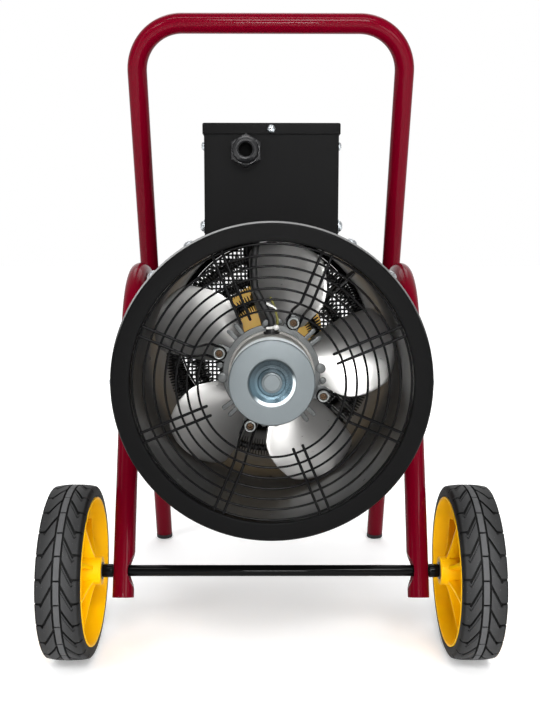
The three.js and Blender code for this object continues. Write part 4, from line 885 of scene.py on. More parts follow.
class HEATER_OT_wheels(bpy.types.Operator):
    """Axle, spacers, end caps, bushes and the two wheels."""

    bl_idname = "heater.wheels"
    bl_label = "Wheels"

    def execute(self, context):
        settings = context.scene.heater_wheels
        hub_plastic = moulded_finish(
            "hub_yellow_plastic", tuple(settings.plastic), 0.44, coat=0.02, grain=900.0, strength=0.05, gloss=0.09
        )
        yellow = "hub_plastic", hub_plastic
        gloss = "black_gloss", paint_finish("axle_black_gloss", (0.003, 0.003, 0.0032), 0.16, 0.16, 30.0)
        plastic = "black_plastic", moulded_finish("cap_black_plastic", (0.012, 0.012, 0.012), 0.45)
        steel = "galvanised", sheet_finish("bush_steel", (0.07, 0.07, 0.07), 0.4)
        rod = solid_form([(0, -ROD_END), (AXLE_R, -ROD_END), (AXLE_R, ROD_END), (0, ROD_END)], 1.0, 6)
        add_piece("axle_rod", [aimed(rod, (1, 0, 0), (0, 0, AXLE_Z))], gloss, "axle")
        bush = ring_form([(7.1, -33.0), (10.0, -33.0), (10.0, 17.9), (7.1, 17.9)], 0.6)
        spacer = ring_form([(6.9, -44.3), (7.7, -44.3), (7.7, -33.4), (6.9, -33.4)], 0.35)
        cap = solid_form([(0, 18.0), (11.0, 18.0), (11.0, 21.5), (8.6, 24.4), (0, 24.4)], [0.4, 1.2, 1.6])
        for side, sign in SIDES:
            x, wheel = sign * WHEEL_X, f"wheel_{side}"
            rubber = "tyre", tread_finish(f"tyre_rubber_{side}", tuple(settings.rubber), x)
            add_piece(f"treaded_tyre_{side}", [tyre_form(settings, x, -sign)], rubber, f"tyre_{side}", wheel, 38.0)
            add_piece(f"moulded_hub_{side}", hub_forms(settings, x, sign), yellow, f"wheel_hub_{side}", wheel, 40.0)
            bush_at, spacer_at, cap_at = (aimed(form, (sign, 0, 0), (x, 0, AXLE_Z)) for form in (bush, spacer, cap))
            add_piece(f"bush_sleeve_{side}", [bush_at], steel, f"wheel_bush_{side}", wheel)
            add_piece(f"spacer_collar_{side}", [spacer_at], gloss, f"axle_spacer_{side}")
            add_piece(f"push_cap_{side}", [cap_at], plastic, f"axle_cap_{side}")
        return {"FINISHED"}


# ---------------------------------------------------------------- duct
def duct_at(form):
    """The form moved from the origin to the duct's axis."""
    return moved(form, (0.0, 0.0, DUCT_Z))


def ring_path(radius, y, count):
    """Circle (r cos t, y, r sin t) round the duct's axis."""
    c, s = circle(count)
    return np.stack([radius * c, y + 0 * c, DUCT_Z + radius * s], -1)


def polar(radius, angle, y, aside=0.0):
    """Point at an angle round the duct, moved aside square to the radius."""
    c, s = math.cos(angle), math.sin(angle)
    return np.array([radius * c - aside * s, y, DUCT_Z + radius * s + aside * c])


class HEATER_OT_duct(bpy.types.Operator):
    """Outer casing, inner liner, end rings, rivets and screws."""

    bl_idname = "heater.duct"
    bl_label = "Duct"

    def execute(self, context):
        settings = context.scene.heater_duct
        # painted shade: the duct's coat is the box's powder coat at 0.68 of its colour
        shaded = shade(tuple(settings.coat), 0.68)
        coat = "black_coat", powder_finish("duct_powder_coat", shaded, 0.42)
        liner = sheet_finish("liner_sheet", (0.06, 0.06, 0.059), 0.42, 0.6, (1.0, 6.0, 1.0), 120.0, 0.2)
        plated = "zinc", spangle_finish("screw_zinc", (0.4, 0.42, 0.44), 0.3, 0.95, 500.0)
        outer, inner = CASING_R, CASING_R - SHEET

        def bead(y):
            """A rolled bead that stiffens the casing near its end."""
            return [(outer, y - 4.0), (outer + 1.2, y - 2.2), (outer + 1.2, y + 2.2), (outer, y + 4.0)]

        corners = [(inner, -137.5), (outer, -137.5), *bead(-128.5), *bead(332.0), (outer, 342.5), (inner, 342.5)]
        seam = [polar(outer + 0.45, -math.pi / 2, y, -9) for y in (-120, 324)]
        casing = [duct_at(ring_form(corners, [0.4, 0.5] + [2.0] * 8 + [0.5, 0.4], 4, 160))]
        casing.append(swept(denser(np.array(seam), 40.0), 0.7, 8))
        add_piece("rolled_casing", casing, coat, "duct_casing")
        ring = ring_form([
            (INLET_BORE, -133.0), (INLET_BORE, INLET_Y), (RING_R, INLET_Y), (RING_R, -135.0), (158.6, -135.0),
            (158.6, -138.6), (INLET_BORE + SHEET, -139.3), (INLET_BORE + SHEET, -133.0),
        ], [0.6, 2.2, 4.2, 0.6, 0.3, 1.2, 1.0, 0.6], 9, 192)
        # the inlet ring's coat carries a painted highlight along its upper outer edge
        painted_edge_highlight = "black_coat", powder_finish("inlet_ring_coat", shaded, 0.42, rim=0.1579)
        add_piece("inlet_face_ring", [duct_at(ring), self.skirt(-139.0, -114.0)], painted_edge_highlight, "inlet_ring")
        ring = ring_form([
            (OUTLET_BORE, 338.0), (OUTLET_BORE, OUTLET_Y), (RING_R, OUTLET_Y), (RING_R, 341.0), (158.6, 341.0),
            (158.6, 344.4), (OUTLET_BORE + SHEET, 344.4), (OUTLET_BORE + SHEET, 338.0),
        ], [0.6, 2.2, 2.6, 0.6, 0.3, 1.2, 1.0, 0.6], 6, 192)
        add_piece("outlet_face_ring", [duct_at(ring), self.skirt(319.0, 344.0)], coat, "outlet_ring")
        bore = LINER_R - SHEET
        wall = ring_form([(bore, -139.0), (LINER_R, -139.0), (LINER_R, 344.0), (bore, 344.0)], 0.4, 3, 160)
        lining = [duct_at(wall)]
        for angle in np.radians([-90, -48, -132, 0, 180, 138]):
            for y in (-96.0, 60.0, 300.0):
                inward = (-math.cos(angle), 0.0, -math.sin(angle))
                lining.append(aimed(dome(2.3, 1.1), inward, polar(bore + 0.05, angle, y)))
        add_piece("liner_tube", lining, ("liner_steel", liner), "duct_liner")
        screws = []
        for degrees in (121.0, 60.5, 138.0, 42.0, 0.0, 180.0, -45.0, -135.0, TOP_SCREW):
            angle = math.radians(degrees)
            away = (math.cos(angle), 0.0, math.sin(angle))
            for y in (-121.0, 327.0):
                # the top screw is at the outlet end only
                if degrees != TOP_SCREW or y > 0:
                    screws.append(aimed(screw_head(5.6, 4.0), away, polar(outer + 0.1, angle, y)))
                    screws.append(aimed(washer(6.8, 2.0, 0.8, 32), away, polar(outer - 0.3, angle, y)))
        add_piece("casing_screws", screws, plated)
        return {"FINISHED"}

    @staticmethod
    def skirt(start, end):
        """The part of an end ring that reaches into the casing."""
        return duct_at(ring_form([(155.9, start), (157.2, start), (157.2, end), (155.9, end)], 0.4, 3, 192))


def guard_forms(settings):
    """Rings of wire, straight pairs with free inner ends, and hairpins: in along one rod, back over the motor's
    sleeve in a half circle round it, and out along the other."""
    wire, rod = mm(settings.wire), mm(settings.rod)
    forms = [swept(ring_path(radius, GUARD_Y, 144), wire, 12, ALONG, closed=True) for radius in RINGS]
    front = GUARD_Y - wire - rod + 0.35
    neck = LUG_FACE_Y + 5.8
    wide = 6.4
    for quarter in range(4):
        free = math.radians(22.5 + 90 * quarter)
        for side in (-PAIR / 2, PAIR / 2):
            ends = np.array([polar(GUARD_R, free, front, side), polar(68.0, free, front, side)])
            forms.append(swept(denser(ends, 12.0), rod, 12, ALONG, round_ends=True))
        held = LUG_ANGLE + math.radians(90 * quarter)
        loop = [
            polar(LUG_RADIUS - wide * math.cos(a), held, neck, wide * math.sin(a))
            for a in np.radians(np.linspace(90, -90, 13))
        ]
        outline = [
            polar(GUARD_R, held, front, PAIR / 2), polar(86.0, held, front, PAIR / 2),
            polar(72.0, held, neck - 3.0, wide), *loop, polar(72.0, held, neck - 3.0, -wide),
            polar(86.0, held, front, -PAIR / 2), polar(GUARD_R, held, front, -PAIR / 2),
        ]
        radii = [5.0, 6.0] + [0.0] * len(loop) + [6.0, 5.0]
        forms.append(swept(denser(rounded(outline, radii, 6), 8.0), rod, 12, ALONG, round_ends=True))
    return forms


def mesh_forms(settings):
    """Square mesh of crimped wire: bars both ways, each at depth 342 mm + 0.35 cos(pi s / pitch) with one layer
    0.7 mm in front and one 0.7 mm behind, in a round hem."""
    pitch = mm(settings.mesh_pitch)
    forms = [swept(ring_path(HEM_R, 342.0, 120), 1.6, 10, ALONG, closed=True)]
    count = int(HEM_R // pitch)
    for i in range(-count, count + 1):
        reach = math.sqrt(HEM_R * HEM_R - (i * pitch) ** 2)
        along = np.linspace(-reach, reach, max(int(2 * reach / pitch * 2), 4))
        crimp = 0.35 * np.cos(np.pi * along / pitch + i * np.pi)
        aside = np.full(len(along), i * pitch)
        for layer, x, z in ((341.3, along, aside), (342.7, aside, along)):
            forms.append(swept(np.stack([x, layer + crimp, DUCT_Z + z], -1), 1.45, 6, ALONG))
    return forms


class HEATER_OT_guards(bpy.types.Operator):
    """Wire guard on the inlet, wire mesh and baffle on the outlet."""

    bl_idname = "heater.guards"
    bl_label = "Guards"

    def execute(self, context):
        settings = context.scene.heater_duct
        gloss = paint_finish("guard_black_gloss", (0.0025, 0.0025, 0.0027), 0.3, 0.14, 40.0)
        zinc = spangle_finish("mesh_zinc", (0.03, 0.03, 0.03), 0.5, 0.4, 300.0)
        gold = gold_finish("baffle_gold", (1.0, 0.7, 0.22), 0.42)
        add_piece("inlet_wire_guard", guard_forms(settings), ("black_gloss", gloss), "wire_guard")
        add_piece("outlet_wire_mesh", mesh_forms(settings), ("galvanised", zinc), "outlet_grille")
        dish = solid_form([
            (0, 339.6), (70.0, 339.6), (76.0, 336.0), (78.0, 336.0), (78.0, 337.0), (76.6, 337.2), (70.6, 340.6),
            (0, 340.6),
        ], [3.0, 2.0, 0.4, 0.4, 2.0, 3.0], 6, 96)
        add_piece("outlet_baffle", [duct_at(dish)], ("galvanised", gold))
        return {"FINISHED"}


# ---------------------------------------------------------------- motor and fan
def lobe(radius, angle, size, low, high):
    """Round boss of the flange at an angle round the motor."""
    c, s = circle(40)
    x, z = radius * math.cos(angle), radius * math.sin(angle)
    return plate(np.stack([x + size * c, z + size * s], -1), low, high, 0.7)


def obround(start, end, angle, half, low, high):
    """Plate with round ends along a radius: half circles of the half width round both end points."""
    k = np.linspace(-np.pi / 2, np.pi / 2, 16)
    cap = np.stack([end + half * np.cos(k), half * np.sin(k)], -1)
    tail = np.stack([start - half * np.cos(k), -half * np.sin(k)], -1)
    x, z = np.concatenate([cap, tail]).T
    c, s = math.cos(angle), math.sin(angle)
    return plate(np.stack([c * x - s * z, s * x + c * z], -1), low, high, 0.5)


def flange_forms():
    """Cast mounting flange: a ring, four long lobes under the sleeves, smaller bosses and slotted fingers."""
    low, high = PLATE_Y, PLATE_Y + 3.0
    forms = [ring_form([(40.5, low), (52.5, low), (52.5, high), (40.5, high)], 0.7, 4, 96)]
    for i in range(4):
        angle = LUG_ANGLE + i * math.pi / 2
        forms.append(obround(44.0, LUG_RADIUS, angle, 8.4, low + 0.1, high - 0.1))
        forms.append(lobe(53.0, angle - math.radians(62), 5.4, low - 0.8, high - 0.3))
        for turn in (22, 31):
            forms.append(obround(47.0, 63.5, angle - math.radians(turn), 2.5, low + 0.4, high - 0.4))
        forms.append(lobe(56.0, angle + math.radians(14), 3.6, low + 0.3, high - 0.3))
    return [duct_at(form) for form in forms]


def motor_cap_form():
    """Drawn cap from its centre boss out over the rounded edge and back along the side."""
    face = CAP_FACE_Y
    corners = [
        (0, face + 1.2), (8.0, face + 1.2), (8.6, face + 1.9), (10.2, face + 2.3), (10.6, face + 4.6),
        (13.4, face + 5.2), (14.4, face + RECESS), (17.5, face + RECESS - 0.4), (22.5, face + 3.2), (24.4, face - 0.4),
        (26.4, face - 0.4), (CAP_R, face), (CAP_R, -63.0), (46.2, -63.0), (46.2, -59.2), (40.0, -59.2), (0, -59.2),
    ]
    radii = [0.4, 0.4, 0.6, 0.6, 0.6, 1.2, 1.6, 6.0, 1.2, 0.6, 1.8, 1.2, 0.8, 0.5, 0.0]
    return duct_at(solid_form(corners, radii, 6, 128))


def eased(marks, values, at):
    """Smooth curve through the values: the cubic whose slope at each mark is that of its two neighbours."""
    marks, values = np.asarray(marks, float), np.asarray(values, float)
    slopes = np.gradient(values, marks)
    k = np.clip(np.searchsorted(marks, at, "right") - 1, 0, len(marks) - 2)
    wide = marks[k + 1] - marks[k]
    t = (at - marks[k]) / wide
    rise = (3 * t ** 2 - 2 * t ** 3) * (values[k + 1] - values[k])
    bend = wide * ((t ** 3 - 2 * t ** 2 + t) * slopes[k] + (t ** 3 - t ** 2) * slopes[k + 1])
    return values[k] + rise + bend


def blade_form(settings, first):
    """One blade along its radius. Across it, v runs from the leading edge to the trailing one, whose distances
    from the middle line are smooth curves of u, pulled in by 1 - k^3 / 2 at the tip. The depth along the axis is
    side tan pitch + camber (v^2 - 1/2), and both faces are half the sheet's thickness from it."""
    sheet = 1.7
    u = np.concatenate([np.linspace(0, 0.84, 26), 1 - 0.16 * np.cos(np.linspace(0.15, np.pi / 2, 12))])[:, None]
    v = np.sin(np.linspace(-1, 1, 23) * np.pi / 2)[None]
    marks = [0, 0.15, 0.3, 0.45, 0.6, 0.75, 0.88, 1]
    leading = eased(marks, [-14, -22, -35, -46, -49, -47, -42, -38], u)
    trailing = eased(marks, [14, 19, 26, 33, 38, 41, 43, 43], u)
    pull = 1 - 0.5 * np.clip((u - 0.85) / 0.15, 0, 1) ** 3
    side = (leading + trailing) / 2 + v * pull * (trailing - leading) / 2
    foot = BLADE_FOOT_R
    start = np.sqrt(np.maximum(foot ** 2 - np.minimum(side ** 2, 0.7 * foot ** 2), 0))
    start = start * (1 - u) + foot * u
    radial = start + (np.sqrt(FAN_R ** 2 - side ** 2) - start) * u
    depth = side * math.tan(settings.pitch) + 5.0 * (v ** 2 - 0.5)
    thick = sheet / 2 * np.sqrt(np.maximum(1 - np.abs(v) ** 18, 0.02))
    faces = [np.stack([radial, depth + way * thick, side + 0 * u], -1) for way in (-1, 1)]
    loop = np.concatenate([faces[0], faces[1][:, ::-1]], 1)
    form = skin(loop, False, loop[0].mean(0), loop[-1].mean(0))
    return moved(spun(form, first), (0.0, FAN_Y, DUCT_Z))


class HEATER_OT_motor(bpy.types.Operator):
    """Motor cap, flange, sleeved screws, lead and the fan."""

    bl_idname = "heater.motor"
    bl_label = "Motor and fan"

    def execute(self, context):
        settings = context.scene.heater_motor
        zinc = "zinc", cap_finish("motor_zinc", tuple(settings.zinc), 0.38)
        sleeves = "zinc", spangle_finish("sleeve_zinc", (0.24, 0.25, 0.245), 0.36, 0.6, 420.0)
        cast = "galvanised", spangle_finish("flange_cast", (0.075, 0.079, 0.079), 0.36, 0.6, 220.0)
        brown = "zinc", sheet_finish("socket_brown_zinc", (0.085, 0.05, 0.027), 0.45, 0.7)
        sheet = sheet_finish("blade_sheet", tuple(settings.blade), 0.3, 0.88, (0.5, 1.0, 4.0), 150.0, 0.05)
        blade = "bright_sheet", sheet
        add_piece("drawn_motor_cap", [motor_cap_form()], zinc, "motor_cap")
        add_piece("cast_flange", flange_forms(), cast, "motor_plate")
        sleeve = ring_form([
            (3.9, -74.6), (4.3, -76.0), (6.2, -76.0), (6.2, -71.8), (4.6, -71.6), (4.6, -59.0), (3.9, -59.0),
        ], [0.3, 0.8, 0.9, 0.4, 0.3, 0.3, 0.3], 5)
        nut = moved(hexagon_head(9.0, 4.0), (0, -55.4, 0))
        screw = solid_form([
            (0, -70.0), (1.7, -70.0), (2.2, -73.4), (3.6, -73.4), (3.8, -72.6), (3.8, -50.0), (0, -50.0),
        ], [0.2, 0.3, 0.4, 0.3, 0.3], 4, 6)
        for i in range(4):
            place = polar(LUG_RADIUS, LUG_ANGLE + i * math.pi / 2, 0.0)
            forms = [moved(sleeve, place), moved(nut, place)]
            add_piece(f"sleeve_{i + 1}", forms, sleeves, f"motor_bolt_{i + 1}")
            add_piece(f"sleeve_screw_{i + 1}", [moved(screw, place)], brown)
        hub = solid_form([
            (0, -35.0), (6.0, -35.0), (6.0, -10.0), (FAN_HUB_R, -10.0), (FAN_HUB_R, 20.0), (27.0, 20.0), (24.0, 14.0),
            (9.0, 14.0), (8.0, 22.0), (0, 22.0),
        ], [0.5, 1, 3, 3, 2, 2, 1, 1.5], 5, 96)
        add_piece("fan_hub_casting", [duct_at(hub)], blade, "fan_hub", "fan")
        for i in range(5):
            form = blade_form(settings, math.radians(82.0 + 72.0 * i))
            add_piece(f"paddle_blade_{i + 1}", [form], blade, f"fan_blade_{i + 1}", "fan")
        self.lead()
        return {"FINISHED"}

    def lead(self):
        """Lead from the motor's grommet up through the liner, with its earth wire, cap and tie."""
        black = "rubber", moulded_finish("lead_black", (0.012, 0.012, 0.012), 0.42, coat=0.1)
        white = "rubber", moulded_finish("tie_white", (0.75, 0.75, 0.72), 0.4, coat=0.2)
        green = "rubber", moulded_finish("earth_wire", (0.16, 0.15, 0.03), 0.4, coat=0.2)
        base = DUCT_Z + CAP_R
        between_tubes = DUCT_Z + (LINER_R + CASING_R - SHEET) / 2
        corners = [
            (0, LEAD_Y, base + 9.6), (-1.0, LEAD_Y, base + 16.0), (-17.5, LEAD_Y, base + 48.0),
            (-19.0, LEAD_Y, base + 74.0), (LEAD_X, LEAD_Y, between_tubes), (LEAD_X, 42.0, between_tubes),
            (LEAD_X, 42.0, FLOOR_TOP + 14.0),
        ]
        path = denser(rounded(corners, [11.0, 20.0, 40.0, 22.0, 22.0], 14), 6.0)
        grommet = solid_form([
            (0, 0.2), (8.6, 0.2), (8.6, 2.2), (6.2, 2.6), (6.2, 5.2), (4.4, 5.6), (4.4, 9.2), (0, 9.2),
        ], [0.6, 0.6, 0.6, 0.6, 0.6, 0.8], 4, 40)
        add_piece("lead_grommet", [aimed(grommet, UP, (0, LEAD_Y, base))], black, "motor_grommet")
        add_piece("motor_lead_sheath", [swept(path, 3.6, 20, (0.9, 0.3, 0.1))], black, "motor_lead")
        earth = rounded([
            (5.2, LEAD_Y + 2, base + 3.0), (6.4, LEAD_Y + 2, base + 15.0), (3.4, LEAD_Y + 1, base + 27.0),
            (-1.0, LEAD_Y + 1.5, base + 38.0),
        ], [6.0, 8.0], 8)
        add_piece("earth_lead", [swept(denser(earth, 3.0), 1.3, 14, (1, 0, 0), round_ends=True)], green)
        ball = aimed(dome(3.1, 3.1), (0, -1, 0), (4.6, LEAD_Y - 7.0, base + 7.4))
        stem = [(-4.5, LEAD_Y - 6.4, base + 6.6), (4.6, LEAD_Y - 6.4, base + 7.4)]
        c, s = circle(32)
        tie_z = base + 30.0
        loop = np.stack([-1.6 + 4.1 * c, LEAD_Y + 4.1 * s, tie_z - 1.6 * c], -1)
        tail = np.array([
            (-4.6, LEAD_Y - 3.5, tie_z + 2.6), (1.0, LEAD_Y - 4.6, tie_z - 0.4), (4.6, LEAD_Y - 4.2, tie_z - 3.0),
        ])
        add_piece("lead_tie_and_clip", [
            ball, swept(stem, 1.5, 14, round_ends=True), swept(loop, 0.8, 10, closed=True),
            swept(denser(tail, 2.0), 1.0, 12, round_ends=True),
        ], white)


# ---------------------------------------------------------------- heating elements
def finned_ring(settings, radius, y, stem_x):
    """Finned tube bent into a ring: centre + rho(s) (cos t outwards + sin t along Y), where rho is 11 mm on each
    fin and 4.2 mm between them. Its two ends rise to the box's floor, each with a nut and an insulator."""
    opening = math.asin((stem_x - 6.0) / radius)
    sweep = 2 * math.pi - 2 * opening
    fins = int(radius * sweep / mm(settings.fin_pitch))
    cell = np.array([0.0, 0.06, 0.12, 0.32, 0.38, 0.44])
    rho = np.tile([4.2, 10.0, 11.0, 11.0, 10.0, 4.2], fins)
    run = ((np.arange(fins)[:, None] + cell) / fins).ravel()
    angle = np.pi / 2 + opening + sweep * run
    outwards = np.stack([np.cos(angle), 0 * angle, np.sin(angle)], -1)
    centre = radius * outwards + [0, y, DUCT_Z]
    points = centre[:, None] + rho[:, None, None] * section(outwards, np.broadcast_to(ALONG, outwards.shape), 14)
    forms = [skin(points, False, centre[0], centre[-1])]
    nut = hexagon_head(13.0, 5.0)
    insulator = turned([(0, 0), (5.6, 0), (5.6, 9), (3.2, 10), (0, 10)], 24)
    for x in (-stem_x, stem_x):
        foot = math.sqrt(radius ** 2 - x ** 2)
        bend = rounded([(x * 0.72, y, DUCT_Z + foot + 2), (x, y, DUCT_Z + foot + 1), (x, y, FLOOR_TOP + 22)], 9.0, 8)
        forms.append(swept(denser(bend, 10.0), 4.0, 16, ALONG))
        forms.append(aimed(nut, UP, (x, y, FLOOR_TOP + GAP)))
        forms.append(aimed(insulator, UP, (x, y, FLOOR_TOP + 10)))
    return forms


class HEATER_OT_elements(bpy.types.Operator):
    """Three finned heating elements."""

    bl_idname = "heater.elements"
    bl_label = "Heating elements"

    def execute(self, context):
        settings = context.scene.heater_duct
        oxide = sheet_finish("element_oxide", (0.012, 0.0115, 0.0115), 0.5, 0.3, tone=0.3)
        for i, sizes in enumerate(ELEMENTS):
            forms, node = finned_ring(settings, *sizes), f"heating_element_{i + 1}"
            add_piece(f"finned_element_{i + 1}", forms, ("element_steel", oxide), node, sharp=50.0)
        return {"FINISHED"}


# ---------------------------------------------------------------- control box
def rounded_rectangle(half_x, y0, y1, radius):
    """Outline in x and y from -half_x to half_x and from y0 to y1."""
    return rounded_loop([(-half_x, y0), (half_x, y0), (half_x, y1), (-half_x, y1)], radius, 5)


def stations(start, end):
    """The start of a straight and the points that divide it into parts of about 6 mm."""
    count = max(int(np.linalg.norm(end - start) // 6), 1)
    t = np.linspace(0, 1, count + 1)[:-1, None]
    return start * (1 - t) + end * t


def walls_form(edge):
    """Folded walls: the outline's x and y all the way up, and at the bottom z = duct centre +
    sqrt(159.6^2 - x^2), the cylinder they stand on. The outer and inner skins join at both rims."""
    outer = rounded_rectangle(BOX_HALF, BOX_FRONT, BOX_BACK, edge)
    inner = outer - np.sign(outer - [0.0, (BOX_FRONT + BOX_BACK) / 2]) * 1.3
    share = np.array([0.0, 0.004, 0.5, 0.996, 1.0])
    rows = []
    for outline, heights in ((outer, share), (inner, share[::-1])):
        x, y = np.concatenate([stations(*pair) for pair in zip(outline, np.roll(outline, -1, 0))]).T
        foot = DUCT_Z + np.sqrt(np.maximum(SADDLE_R ** 2 - x ** 2, 0))
        z = foot + (BOX_TOP - LID_OVER - foot) * heights[:, None]
        rows.append(np.stack(np.broadcast_arrays(x, y, z), -1))
    return skin(np.concatenate(rows), True)


def lid_form(edge):
    """Folded tray turned over: outlines at the lip's foot, up the outside, over the rounded edge to the middle,
    and back inside, each a rounded rectangle pulled in by its own amount."""
    outer_x, low_y, high_y = BOX_HALF + LID_OVER, BOX_FRONT - LID_OVER, BOX_BACK + LID_OVER
    foot, top = BOX_TOP - 12.2, BOX_TOP
    k = np.radians([0, 22, 45, 68, 90])
    out_pull = edge * (1 - np.cos(k))
    out_rise = top - edge + edge * np.sin(k)
    pull = np.concatenate([[1.2, 0.3, 0.0], out_pull, [20.0, 55.0]])
    rise = np.concatenate([[foot, foot, foot + 0.4], out_rise, [top, top]])
    inside = np.array([(55.0, top - 1.2), (20.0, top - 1.2), (1.6, top - 1.2), (1.2, top - 1.8), (1.2, foot + 0.3)])
    pull = np.concatenate([inside[:, 0], pull])
    rise = np.concatenate([inside[:, 1], rise])
    rows = []
    for p, z in zip(pull, rise):
        line = rounded_rectangle(outer_x - p, low_y + p, high_y - p, max(2.0 - p * 0.3, 0.5))
        rows.append(np.column_stack([line, np.full(len(line), z)]))
    points = np.array(rows)
    middle = (low_y + high_y) / 2
    return skin(points, False, [0, middle, top - 1.2], [0, middle, top])


def gland_forms():
    """Gland along -Y from the wall: a hexagon collar with a corner up and its locknut behind the wall, a nut whose
    grip is a radius of 14.6 + 0.45 cos(14 t) with its own lip, and the seal with a disc across its bore that stands
    in for the shade inside the bore."""
    rows = [
        (7.4, 9.0, 0), (14.2, 9.0, 0), (14.4, 10.0, 0.45), (14.5, 15.5, 0.45), (14.2, 17.2, 0.2), (13.2, 19.4, 0),
        (11.8, 21.2, 0), (10.2, 21.9, 0), (9.0, 21.7, 0), (8.3, 20.8, 0), (8.1, 19.0, 0), (7.4, 18.6, 0),
    ]
    collar = moved(hexagon_head(32.2, 8.0, 96), (0, GAP, 0))
    lock = ring_form([(7.4, -8), (14.5, -8), (14.5, -2), (7.4, -2)], 0.6, 3)
    nut = skin(fluted(rows, 168, 14), True)
    # the seal is dark rubber; the disc across its bore is a painted shadow
    seal = ring_form([(6.6, -2.0), (7.3, -2.0), (7.9, 18.9), (7.2, 18.9)], 0.3, 4, 64)
    bore_shade_disc = solid_form([(0, 8.3), (7.3, 8.3), (7.3, 9.8), (0, 9.8)], 0.3, 3)
    x, z = GLAND
    groups = ([collar, lock], [nut], [seal, bore_shade_disc])
    return [[aimed(form, (0, -1, 0), (x, BOX_FRONT, z)) for form in group] for group in groups]


def knob_form(x, z):
    """Knob along +Y: a skirt whose grip is radius + 0.3 cos(24 t), a dished top and a raised bar, whose outline is
    (4 cos k^0.5, 15.6 sin k^0.6) with the signs kept."""
    rows = [
        (18.4, 0.3, 0), (19.0, 0.8, 0), (19.0, 2.4, 0), (18.0, 3.4, 0.1), (17.4, 5.0, 0.3), (16.6, 9.4, 0.3),
        (15.8, 10.6, 0.1), (14.6, 11.0, 0), (12.0, 10.4, 0), (6.0, 9.8, 0),
    ]
    body = skin(fluted(rows, 192, 24), False, [0, 0.3, 0], [0, 9.8, 0])
    c, s = circle(48)
    bar = np.stack([4.0 * np.sign(c) * np.abs(c) ** 0.5, 15.6 * np.sign(s) * np.abs(s) ** 0.6], -1)
    return [moved(form, (x, BOX_BACK + GAP, z)) for form in (body, plate(bar, 8.8, 14.5, 1.1))]


def text_form(words, x, z):
    """Printed characters on the box's outlet side, read from outside: a font outline made into a thin mesh."""
    depth = 0.12
    curve = bpy.data.curves.new("digits", "FONT")
    curve.body, curve.size, curve.extrude = words, 5.2, depth / 2
    curve.align_x, curve.align_y, curve.resolution_u = "CENTER", "CENTER", 3
    holder = bpy.data.objects.new("digits", curve)
    bpy.context.scene.collection.objects.link(holder)
    mesh = bpy.data.meshes.new_from_object(holder.evaluated_get(bpy.context.evaluated_depsgraph_get()))
    co = np.zeros(len(mesh.vertices) * 3)
    mesh.vertices.foreach_get("co", co)
    across, up, out = co.reshape(-1, 3).T
    faces = {}
    for polygon in mesh.polygons:
        faces.setdefault(len(polygon.vertices), []).append(list(polygon.vertices))
    bpy.data.objects.remove(holder)
    bpy.data.meshes.remove(mesh)
    points = np.stack([x - across, BOX_BACK + 0.05 + depth / 2 + out, z + up], -1)
    return points, [np.array(group) for group in faces.values()]


